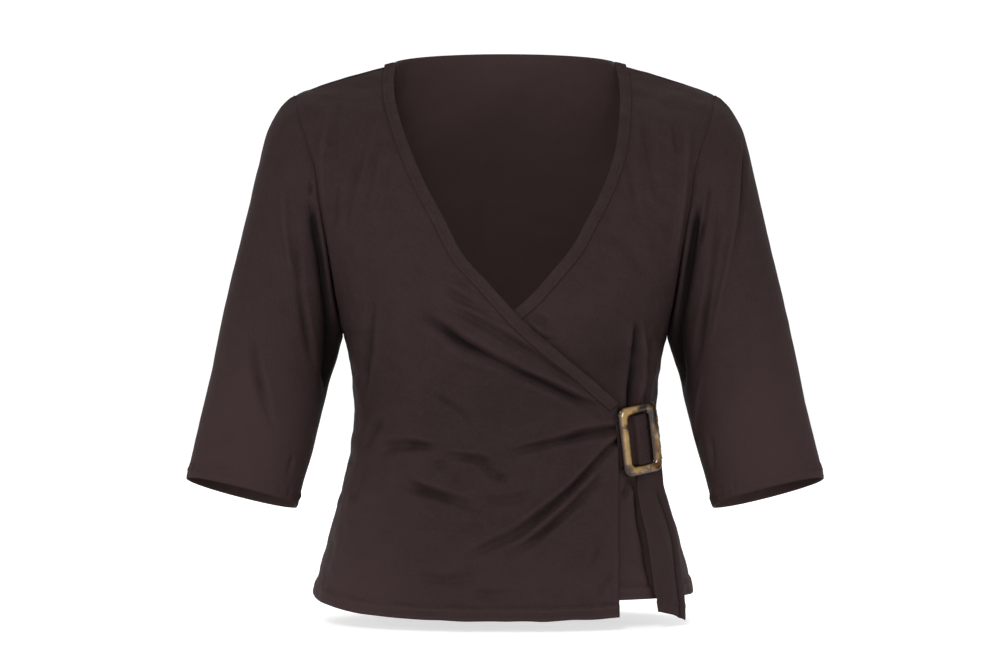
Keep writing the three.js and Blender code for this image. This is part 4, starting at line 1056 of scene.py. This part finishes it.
def band(name, line, height, pleat, seed, thick):
    """A strip of cloth that follows a line seen from above, with pleats along it."""
    path = spline_samples(line, 90)
    rise = np.linspace(-height / 2, height / 2, 40)
    side = np.gradient(path, axis=0)
    side /= np.linalg.norm(side, axis=1)[:, None]
    grid = np.zeros((len(path), len(rise), 3))
    for j, v in enumerate(rise):
        depth = np.array([
            pleat * (
                noise.noise(Vector((v / 3.6, seed, k / 60)))
                + 0.5 * noise.noise(Vector((v / 1.9, seed + 5, k / 40)))
            )
            for k in range(len(path))
        ])
        grid[:, j, 0] = path[:, 0] - side[:, 1] * depth
        grid[:, j, 1] = v
        grid[:, j, 2] = path[:, 1] + side[:, 0] * depth
    world = from_buckle(grid)
    normal = normals_of(world, False, buckle_out)
    return shell(name, world + normal * thick / 2, normal, thick)


strap = band("strap_jersey", STRAP_LINE, 46, 0.55, 4, 0.9)
loop = band("loop_jersey", LOOP_LINE, 28, 0.0, 8, 0.9)

# left x, y, z, right x, y, z, bulge
TAIL_BEHIND = [
    ((-3, -17, -4.9), (27, -17, -5.2), 0), ((-4, -25, -4.2), (27, -25, -4.8), 0),
    ((-5.5, -34, -3.35), (26, -34, -4.0), 0),
]
TAIL_BELOW = [
    ((123, -73.8, -404), (149, -40, -404), 2.5), ((126, -76, -422), (154.5, -36, -422), 4.2),
    ((131.8, -80.8, -450), (161.5, -37, -449), 5), ((135.2, -85.2, -476), (164.5, -50, -477), 4.8),
    ((138.2, -88, -496), (166.8, -55, -500), 4.4), ((139.6, -88.6, -504.5), (167.2, -56.5, -512), 4.2),
    ((140.9, -88.8, -513), (167.4, -57.5, -524), 4),
]
rows = [(from_buckle(a), from_buckle(b), bulge) for a, b, bulge in TAIL_BEHIND]
rows += [(np.array(a, float), np.array(b, float), bulge) for a, b, bulge in TAIL_BELOW]
TAIL_ROWS, TAIL_COLUMNS = 80, 44
# Where the tail's pleat and the swell beside it lie, as shares of its width
TAIL_WIDTH, PLEAT_AT, SWELL_AT = 36, 0.72, 0.40
left_side = spline_samples([a for a, _, _ in rows], TAIL_ROWS)
right_side = spline_samples([b for _, b, _ in rows], TAIL_ROWS)
row_shares = np.linspace(0, 1, len(rows))
bulges = np.interp(np.linspace(0, 1, TAIL_ROWS), row_shares, [bulge for _, _, bulge in rows])
share = np.linspace(0, 1, TAIL_COLUMNS)
bow = np.stack([
    left_side[:, 1] - right_side[:, 1], left_side[:, 0] - right_side[:, 0], np.zeros(TAIL_ROWS),
], 1)
bow = -bow / np.linalg.norm(bow, axis=1)[:, None]
tail_base = left_side[:, None] + (right_side - left_side)[:, None] * share[None, :, None]
tail_base += bow[:, None] * (bulges[:, None] * np.sin(math.pi * share))[..., None]
tail_normal = normals_of(tail_base, False, np.array([0.5, -0.85, 0.0]))
top_d, hem_d, left_d, right_d = distances(tail_base)
tail_relief = 0.45 * wander(tail_base, 24, 41) + 0.25 * wander(tail_base, 9, 42)
tail_relief += hem_relief(hem_d, left_d, 6, hem=11, raised=0.6) * smooth(0, 20, top_d)
tail_relief -= 0.5 * np.exp(-(left_d / 1.4) ** 2) + 0.5 * np.exp(-(right_d / 1.4) ** 2)
tail_relief -= 2.0 * np.exp(-((share - PLEAT_AT) * TAIL_WIDTH / 3.0) ** 2)[None, :] * smooth(25, 45, top_d)
tail_relief += 0.7 * np.exp(-((share - SWELL_AT) * TAIL_WIDTH / 5.0) ** 2)[None, :] * smooth(35, 60, top_d)
# Painted shade in the pleat, and the tail painted paler below its top
tail_trough = np.exp(-((share - PLEAT_AT) * TAIL_WIDTH / 2.2) ** 2)[None, :] * smooth(25, 45, top_d)
tail_trough = tail_trough - 0.35 * smooth(0, 40, top_d)
tail_face = tail_base + tail_normal * (tail_relief + CLOTH / 2)[..., None]
tail = shell("tail_jersey", tail_face, tail_normal, trough=tail_trough)
print("strap, loop and tail:", [len(o.data.polygons) for o in (strap, loop, tail)])

# %% [markdown]
# Hems, cuffs and bindings are sewn with a coverstitch, which shows as short dashes on the face. Each line
# of stitches lies on the cloth's own points, moved out, with one spot for every dash.

# %% Stitch lines
STITCH_PITCH, STITCH_RAISED = 3.0, 0.05
STITCH_SIZE = (2.2, 0.55, 0.3)
stitch_points, stitch_along, stitch_out = [], [], []


def sew(points, normals):
    """Stitches every few millimetres along a line that lies on the cloth."""
    points, normals = np.asarray(points), np.asarray(normals)
    reach = walked(points)
    place = np.arange(STITCH_PITCH / 2, reach[-1] - STITCH_PITCH / 2, STITCH_PITCH)

    def at(places, values):
        return np.stack([np.interp(places, reach, values[:, n]) for n in range(3)], 1)

    out = at(place, normals)
    out /= np.linalg.norm(out, axis=1)[:, None]
    stitch_points.append(at(place, points) + out * STITCH_RAISED)
    stitch_along.append(at(place + 0.8, points) - at(place - 0.8, points))
    stitch_out.append(out)


def grid_line(outer, normal, distance, way, axis):
    """The line on a panel that keeps `way` millimetres from one of its sides."""
    if axis == 1:
        outer, normal, distance = outer.transpose(1, 0, 2), normal.transpose(1, 0, 2), distance.T
    points, outs = [], []
    for column in range(outer.shape[1]):
        reach = distance[:, column]
        order = np.argsort(reach)
        points.append([np.interp(way, reach[order], outer[order, column, n]) for n in range(3)])
        outs.append([np.interp(way, reach[order], normal[order, column, n]) for n in range(3)])
    return np.array(points), np.array(outs)


def face_of(thing, rows, cols):
    """The outer sheet's points of a shell, in millimetres, as a grid."""
    flat = np.empty(len(thing.data.vertices) * 3)
    thing.data.vertices.foreach_get("co", flat)
    return (flat.reshape(-1, 3) / MM)[: rows * cols].reshape(rows, cols, 3)


def sewn_face(thing, base, normal, side, way):
    """A line on a panel's face at `way` millimetres from its first row (0) or its last column (3)."""
    face = face_of(thing, *base.shape[:2])
    return grid_line(face, normals_of(face, False, normal), distances(base)[side], way, side // 2)


HEM_LINE, EDGE_LINE, CUFF_LINE, TAIL_LINE = HEM - 1.2, 7.0, 6.9, 10
for panel in ((right_front, right_base, right_normal), (left_front, left_base, left_normal),
              (back, back_base, back_normal)):
    points, outs = sewn_face(*panel, 0, HEM_LINE)
    sew(points[1:-1], outs[1:-1])

points, outs = sewn_face(right_front, right_base, right_normal, 3, EDGE_LINE)
below = (points[:, 2] < -332) & (points[:, 2] > -506)
sew(points[below], outs[below])

# One line on each binding and one on the cloth beside it, as distance from the edge and height
for surface, line, height_at, outward, lean in BINDINGS.values():
    for way, lift in ((6.6, BINDING_UP + 0.15), (11.2, 0.0)):
        a, u, spot = square_off(surface, *line, way, lean)
        normal = surface_normal(surface, a, u, outward)
        sew((spot + normal * (height_at(spot, a) + lift)[:, None])[2:-2], normal[2:-2])

for grid, normal, relief in ((right_grid, right_out, right_relief), (left_grid, left_out, left_relief)):
    down = walked(grid)
    points, outs = grid_line(grid + normal * relief[..., None], normal, down[-1] - down, CUFF_LINE, 0)
    sew(np.vstack([points, points[:1]]), np.vstack([outs, outs[:1]]))

points, outs = grid_line(tail_face, tail_normal, distances(tail_base)[1], TAIL_LINE, 0)
sew(points[1:-1], outs[1:-1])
seam_spots = np.concatenate(stitch_points)
print("stitches:", len(seam_spots))

# %% [markdown]
# A stitch is a small flattened bead of thread. Geometry Nodes puts one on every spot, turned along the seam
# and out of the cloth, each a little longer or shorter than the next. The sizes and the seed are inputs, so
# that another thread or another machine setting is one number.

# %% Sew the stitches with Geometry Nodes
def add(tree, kind, inputs=(), **settings):
    """A node, its settings, and its inputs: each one a value or another node's output."""
    made = tree.nodes.new(kind)
    for key, value in settings.items():
        setattr(made, key, value)
    for key, value in dict(inputs).items():
        if isinstance(value, bpy.types.NodeSocket):
            tree.links.new(value, made.inputs[key])
        else:
            made.inputs[key].default_value = value
    return made


def stitch_tree():
    tree = bpy.data.node_groups.new("stitches", "GeometryNodeTree")
    sizes = {"Length": "Float", "Width": "Float", "Height": "Float", "Seed": "Int", "Thread": "Material"}
    for name, kind in {"Geometry": "Geometry", **sizes}.items():
        tree.interface.new_socket(name, in_out="INPUT", socket_type=f"NodeSocket{kind}")
    tree.interface.new_socket("Geometry", in_out="OUTPUT", socket_type="NodeSocketGeometry")
    given = add(tree, "NodeGroupInput").outputs
    size = add(tree, "ShaderNodeCombineXYZ", {
        "X": given["Length"], "Y": given["Width"], "Z": given["Height"],
    })
    bead = add(tree, "GeometryNodeMeshUVSphere", {"Segments": 6, "Rings": 4, "Radius": 0.5})
    bead = add(tree, "GeometryNodeTransform", {
        "Geometry": bead.outputs["Mesh"], "Scale": size.outputs["Vector"],
    })
    along, out = (
        add(
            tree, "GeometryNodeInputNamedAttribute", {"Name": name}, data_type="FLOAT_VECTOR",
        ).outputs["Attribute"]
        for name in ("along", "out")
    )
    turned = add(tree, "FunctionNodeAlignRotationToVector", {"Vector": along}, axis="X")
    turned = add(tree, "FunctionNodeAlignRotationToVector", {
        "Rotation": turned.outputs["Rotation"], "Vector": out,
    }, axis="Z", pivot_axis="X")
    uneven = add(tree, "FunctionNodeRandomValue", {
        "Min": (0.86, 0.85, 0.8), "Max": (1.08, 1.15, 1.1), "Seed": given["Seed"],
    }, data_type="FLOAT_VECTOR")
    placed = add(tree, "GeometryNodeInstanceOnPoints", {
        "Points": given["Geometry"], "Instance": bead.outputs["Geometry"],
        "Rotation": turned.outputs["Rotation"], "Scale": uneven.outputs["Value"],
    })
    real = add(tree, "GeometryNodeRealizeInstances", {"Geometry": placed.outputs["Instances"]})
    thread = add(tree, "GeometryNodeSetMaterial", {
        "Geometry": real.outputs["Geometry"], "Material": given["Thread"],
    })
    add(tree, "NodeGroupOutput", {"Geometry": thread.outputs["Geometry"]})
    return tree


# %% [markdown]
# Viscose jersey is a fine knit with a soft, slightly lustrous face. At this distance its ribs are below a
# pixel, so they show as a grain and a faint sheen, with slow patches where the cloth has been washed and
# handled. The buckle is cellulose-acetate resin: clear honey with brown and near-black clouds, polished
# like glass.

# %% Materials
def linear(hex_colour):
    parts = [int(hex_colour[i : i + 2], 16) / 255 for i in (1, 3, 5)]
    return tuple(c / 12.92 if c <= 0.04045 else ((c + 0.055) / 1.055) ** 2.4 for c in parts) + (1,)


def new_material(name):
    material = bpy.data.materials.new(name)
    material.use_nodes = True
    material.node_tree.nodes.clear()
    return material, material.node_tree


def finish_material(tree, inputs):
    """The surface itself: values and patterns on the shader's own inputs."""
    shader = add(tree, "ShaderNodeBsdfPrincipled", inputs)
    add(tree, "ShaderNodeOutputMaterial", {"Surface": shader.outputs[0]})


def painted(tree, body, value, low, high, colour):
    """A colour laid over another one, more of it the further a value goes from low to high."""
    share = add(tree, "ShaderNodeMapRange", {"Value": value, "From Min": low, "From Max": high})
    share = share.outputs["Result"]
    return add(tree, "ShaderNodeMix", {0: share, 6: body, 7: linear(colour)}, data_type="RGBA").outputs[2]


# JERSEY_SHADED is a painted shade colour, and the worn-and-lit colour serves both for the knit's paler grain
# and for painted light
JERSEY, JERSEY_WORN_AND_LIT, JERSEY_DEEP, JERSEY_SHADED = "#261b1b", "#312424", "#231918", "#080505"
# The real ribs are about 0.9 mm apart. A wave texture has 1 / 3.18 of its scale between bands.
KNIT_RIB, WAVE_BAND = 0.0009, 3.18


def jersey_material():
    material, tree = new_material("viscose_jersey")
    place = add(tree, "ShaderNodeTexCoord").outputs["Object"]
    flat = add(tree, "ShaderNodeUVMap", uv_map="cloth").outputs["UV"]
    slow, fine = (
        add(tree, "ShaderNodeTexNoise", {
            "Vector": place, "Scale": scale, "Detail": detail, "Roughness": rough,
        })
        for scale, detail, rough in ((46, 4, 0.62), (520, 2, 0.6))
    )
    trough = add(tree, "ShaderNodeAttribute", attribute_name="trough").outputs["Fac"]
    body = linear(JERSEY_DEEP)
    # The trough mark lays painted shade in folds, on the hem line and beside the body with the shaded colour,
    # and painted light on ridges, hips and hem lines with the paler one
    for value, low, high, colour in (
        (slow.outputs["Fac"], 0.36, 0.66, JERSEY), (fine.outputs["Fac"], 0.42, 1.15, JERSEY_WORN_AND_LIT),
        (trough, 0, 1.2, JERSEY_SHADED), (trough, 0, -1.0, JERSEY_WORN_AND_LIT),
    ):
        body = painted(tree, body, value, low, high, colour)
    ribs = add(tree, "ShaderNodeTexWave", {
        "Vector": flat, "Scale": 1 / (KNIT_RIB * WAVE_BAND), "Distortion": 0.6,
        "Detail": 1, "Detail Scale": 2,
    }, wave_type="BANDS", bands_direction="X")
    bump = add(tree, "ShaderNodeBump", {"Height": ribs.outputs["Fac"], "Strength": 0.25, "Distance": 0.0002})
    grain = add(tree, "ShaderNodeBump", {
        "Height": fine.outputs["Fac"], "Strength": 0.35, "Distance": 0.0006, "Normal": bump.outputs["Normal"],
    })
    finish_material(tree, {
        "Base Color": body, "Normal": grain.outputs["Normal"], "Roughness": 0.75, "IOR": 1.4,
        "Specular IOR Level": 0.1, "Sheen Weight": 0.02, "Sheen Roughness": 0.4,
        "Sheen Tint": linear("#8a7f7c"),
    })
    return material


def thread_material():
    """Spun polyester sewing thread in the cloth's own brown: matt, with a fuzz that breaks up its colour."""
    material, tree = new_material("spun_polyester_thread")
    place = add(tree, "ShaderNodeTexCoord").outputs["Object"]
    fine = add(tree, "ShaderNodeTexNoise", {"Vector": place, "Scale": 900}).outputs["Fac"]
    body = painted(tree, linear("#1c1413"), fine, 0, 1, "#271d1c")
    finish_material(tree, {"Base Color": body, "Roughness": 0.85, "Specular IOR Level": 0.1})
    return material


def acetate_material():
    """Cellulose acetate: honey with brown and near-black clouds, two of them at opposite corners."""
    material, tree = new_material("cellulose_acetate_resin")
    place = add(tree, "ShaderNodeTexCoord").outputs["Object"]
    warped = add(tree, "ShaderNodeTexNoise", {"Vector": place, "Scale": 55, "Detail": 2}).outputs["Color"]
    for way, other in (("MULTIPLY", (0.012, 0.012, 0.012)), ("ADD", place)):
        warped = add(tree, "ShaderNodeVectorMath", {0: warped, 1: other}, operation=way).outputs[0]
    clouds = add(tree, "ShaderNodeTexNoise", {
        "Vector": warped, "Scale": 58, "Detail": 3, "Roughness": 0.45,
    }).outputs["Fac"]
    pale = add(tree, "ShaderNodeTexNoise", {"Vector": warped, "Scale": 90, "Detail": 2}).outputs["Fac"]
    patches = []
    for corner in ((-18, -27, 2), (20, 26, 2)):
        spot = tuple(float(v) * MM for v in from_buckle(corner))
        gap = add(tree, "ShaderNodeVectorMath", {0: warped, 1: spot}, operation="DISTANCE").outputs["Value"]
        patch = add(tree, "ShaderNodeMapRange", {"Value": gap, "From Min": 0.030, "From Max": 0.010})
        patches.append(patch.outputs[0])
    near = add(tree, "ShaderNodeMath", dict(enumerate(patches)), operation="MAXIMUM").outputs[0]
    thick = add(tree, "ShaderNodeMapRange", {"Value": clouds, "From Min": 0.75, "From Max": 0.35}).outputs[0]
    dark = add(tree, "ShaderNodeMath", {0: near, 1: thick}, operation="MULTIPLY").outputs[0]
    # The polished rim is painted darker: painted shade that stands for the resin's full thickness seen
    # through the rounded edge
    rim = add(tree, "ShaderNodeAttribute", attribute_name="rim").outputs["Fac"]
    edge = add(tree, "ShaderNodeMath", {0: rim}, operation="ABSOLUTE").outputs[0]
    body = linear("#3f2714")
    for value, low, high, colour in ((clouds, 0.42, 0.56, "#84693f"), (pale, 0.58, 0.80, "#a5937a"),
                                     (dark, 0.25, 0.75, "#1c1511"), (edge, 0.45, 0.92, "#1e120a")):
        body = painted(tree, body, value, low, high, colour)
    finish_material(tree, {"Base Color": body, "Roughness": 0.1, "IOR": 1.49, "Specular IOR Level": 0.35,
                           "Coat Weight": 0.1, "Coat Roughness": 0.04})
    return material


jersey, thread, acetate = jersey_material(), thread_material(), acetate_material()
print("materials:", [material.name for material in (jersey, thread, acetate)])

# %% [markdown]
# The spots become one mesh of stitches. The modifier's result is made plain and the modifier goes, so that
# what is handed over is only the thread.

# %% Lay the stitches
points_mesh = bpy.data.meshes.new("stitch_spots")
points_mesh.from_pydata([tuple(p) for p in seam_spots * MM], [], [])
for name, values in (("along", np.concatenate(stitch_along)), ("out", np.concatenate(stitch_out))):
    layer = points_mesh.attributes.new(name, "FLOAT_VECTOR", "POINT")
    layer.data.foreach_set("vector", values.ravel())
spots = bpy.data.objects.new("stitch_spots", points_mesh)
bpy.context.scene.collection.objects.link(spots)
sewing = spots.modifiers.new("sewing", "NODES")
sewing.node_group = stitch_tree()
wanted = dict(zip(("Length", "Width", "Height"), (size * MM for size in STITCH_SIZE)))
wanted.update({"Seed": 7, "Thread": thread})
for item in sewing.node_group.interface.items_tree:
    if item.name in wanted and item.in_out == "INPUT":
        sewing[item.identifier] = wanted[item.name]
evaluated = spots.evaluated_get(bpy.context.evaluated_depsgraph_get())
stitch_mesh = bpy.data.meshes.new_from_object(evaluated)
bpy.data.objects.remove(spots)
stitch_mesh.materials.clear()
stitches = bpy.data.objects.new("stitches", stitch_mesh)
bpy.context.scene.collection.objects.link(stitches)
print("stitch faces:", len(stitch_mesh.polygons))

# %% [markdown]
# Every cloth piece is listed with the size it was cut to: the panel's width and length along the cloth, with
# its seams and hems, and how it is held. Each piece takes the jersey and stands in for its node, and the
# list's sizes are not used further.

# %% Hand the pieces over
(neck_right, right_length), (neck_left, left_length), (neck_back, back_length) = bindings
# piece, the node it replaces, flat width and length in metres, how it is held
CLOTH_PIECES = [
    (right_front, "right_front", (0.36, 0.55), "draped"),
    (left_front, "left_front", (0.475, 0.55), "draped"),
    (back, "back", (0.49, 0.56), "draped"),
    (right_sleeve, "right_sleeve", (0.38, 0.40), "draped"),
    (left_sleeve, "left_sleeve", (0.38, 0.40), "draped"),
    (neck_right, "neck_band_right", (0.024, right_length * MM), "stretched"),
    (neck_left, "neck_band_left", (0.024, left_length * MM), "stretched"),
    (neck_back, "neck_band_back", (0.024, back_length * MM), "stretched"),
    (strap, "strap", (0.06, 0.062), "gathered"),
    (loop, "buckle_loop", (0.028, 0.095), "folded"),
    (tail, "strap_tail", (0.045, 0.16), "hung"),
]


def hand_over(thing, material, node=None):
    """A finished piece, on the garment's one body, in the place of its node if it has one."""
    thing.data.materials.clear()
    thing.data.materials.append(material)
    if node:
        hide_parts(node)
    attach(thing, "root")


for thing, node, flat, held in CLOTH_PIECES:
    hand_over(thing, jersey, node)
hand_over(buckle, acetate, "buckle")
hand_over(stitches, thread)

# %% [markdown]
# A white studio with no walls near the garment, so it can be seen from any side: a wide pale floor, and a
# sky that is white behind the garment and greyer behind the camera. Broad soft lights come from the front
# and both sides, and a weaker one from behind. They are hidden from the camera itself.

# %% Studio
FLOOR_Z, FLOOR_RADIUS = -0.529, 14.0
rim = np.arange(96) / 96 * 2 * math.pi
disc = np.stack([FLOOR_RADIUS * np.cos(rim), FLOOR_RADIUS * np.sin(rim), np.full(96, FLOOR_Z)], -1)
floor = make_mesh("paper_floor", disc / MM, [tuple(range(96))], smooth_faces=False)
paper, tree = new_material("white_paper")
finish_material(tree, {"Base Color": linear("#c4c4c4"), "Emission Color": linear("#ffffff"),
                       "Emission Strength": 0.64, "Roughness": 0.9})
floor.data.materials.append(paper)


MIDDLE = Vector((0, 0, -0.28))


def soft_light(name, place, size, watts):
    data = bpy.data.lights.new(name, "AREA")
    data.shape, data.size, data.energy = "SQUARE", size, watts
    lamp = bpy.data.objects.new(name, data)
    lamp.location = place
    lamp.rotation_euler = (MIDDLE - Vector(place)).to_track_quat("-Z", "Y").to_euler()
    lamp.visible_camera = False
    bpy.context.scene.collection.objects.link(lamp)


# name, place, size and watts
soft_light("key", (-0.4, -2.3, 1.35), 0.8, 44)
soft_light("fill", (0.1, -2.9, 0.0), 1.6, 16)
soft_light("side_left", (-2.2, -1.5, -0.1), 1.2, 26)
soft_light("side_right", (2.2, -1.6, -0.1), 0.5, 21)
soft_light("above", (0.3, 1.5, 2.3), 1.2, 30)
soft_light("behind", (-0.7, 2.7, 1.4), 1.4, 34)
world = bpy.data.worlds.new("studio")
world.use_nodes = True
tree = world.node_tree
direction = add(tree, "ShaderNodeTexCoord").outputs["Generated"]
facing = add(tree, "ShaderNodeSeparateXYZ", {"Vector": direction}).outputs["Y"]
bright = add(tree, "ShaderNodeMapRange", {
    "Value": facing, "From Min": -0.3, "From Max": 0.85, "To Min": 0.36, "To Max": 1.06,
}).outputs["Result"]
tree.links.new(bright, tree.nodes["Background"].inputs["Strength"])
tree.nodes["Background"].inputs["Color"].default_value = (1, 1, 1, 1)
bpy.context.scene.world = world
bpy.context.scene.view_settings.view_transform = "Standard"
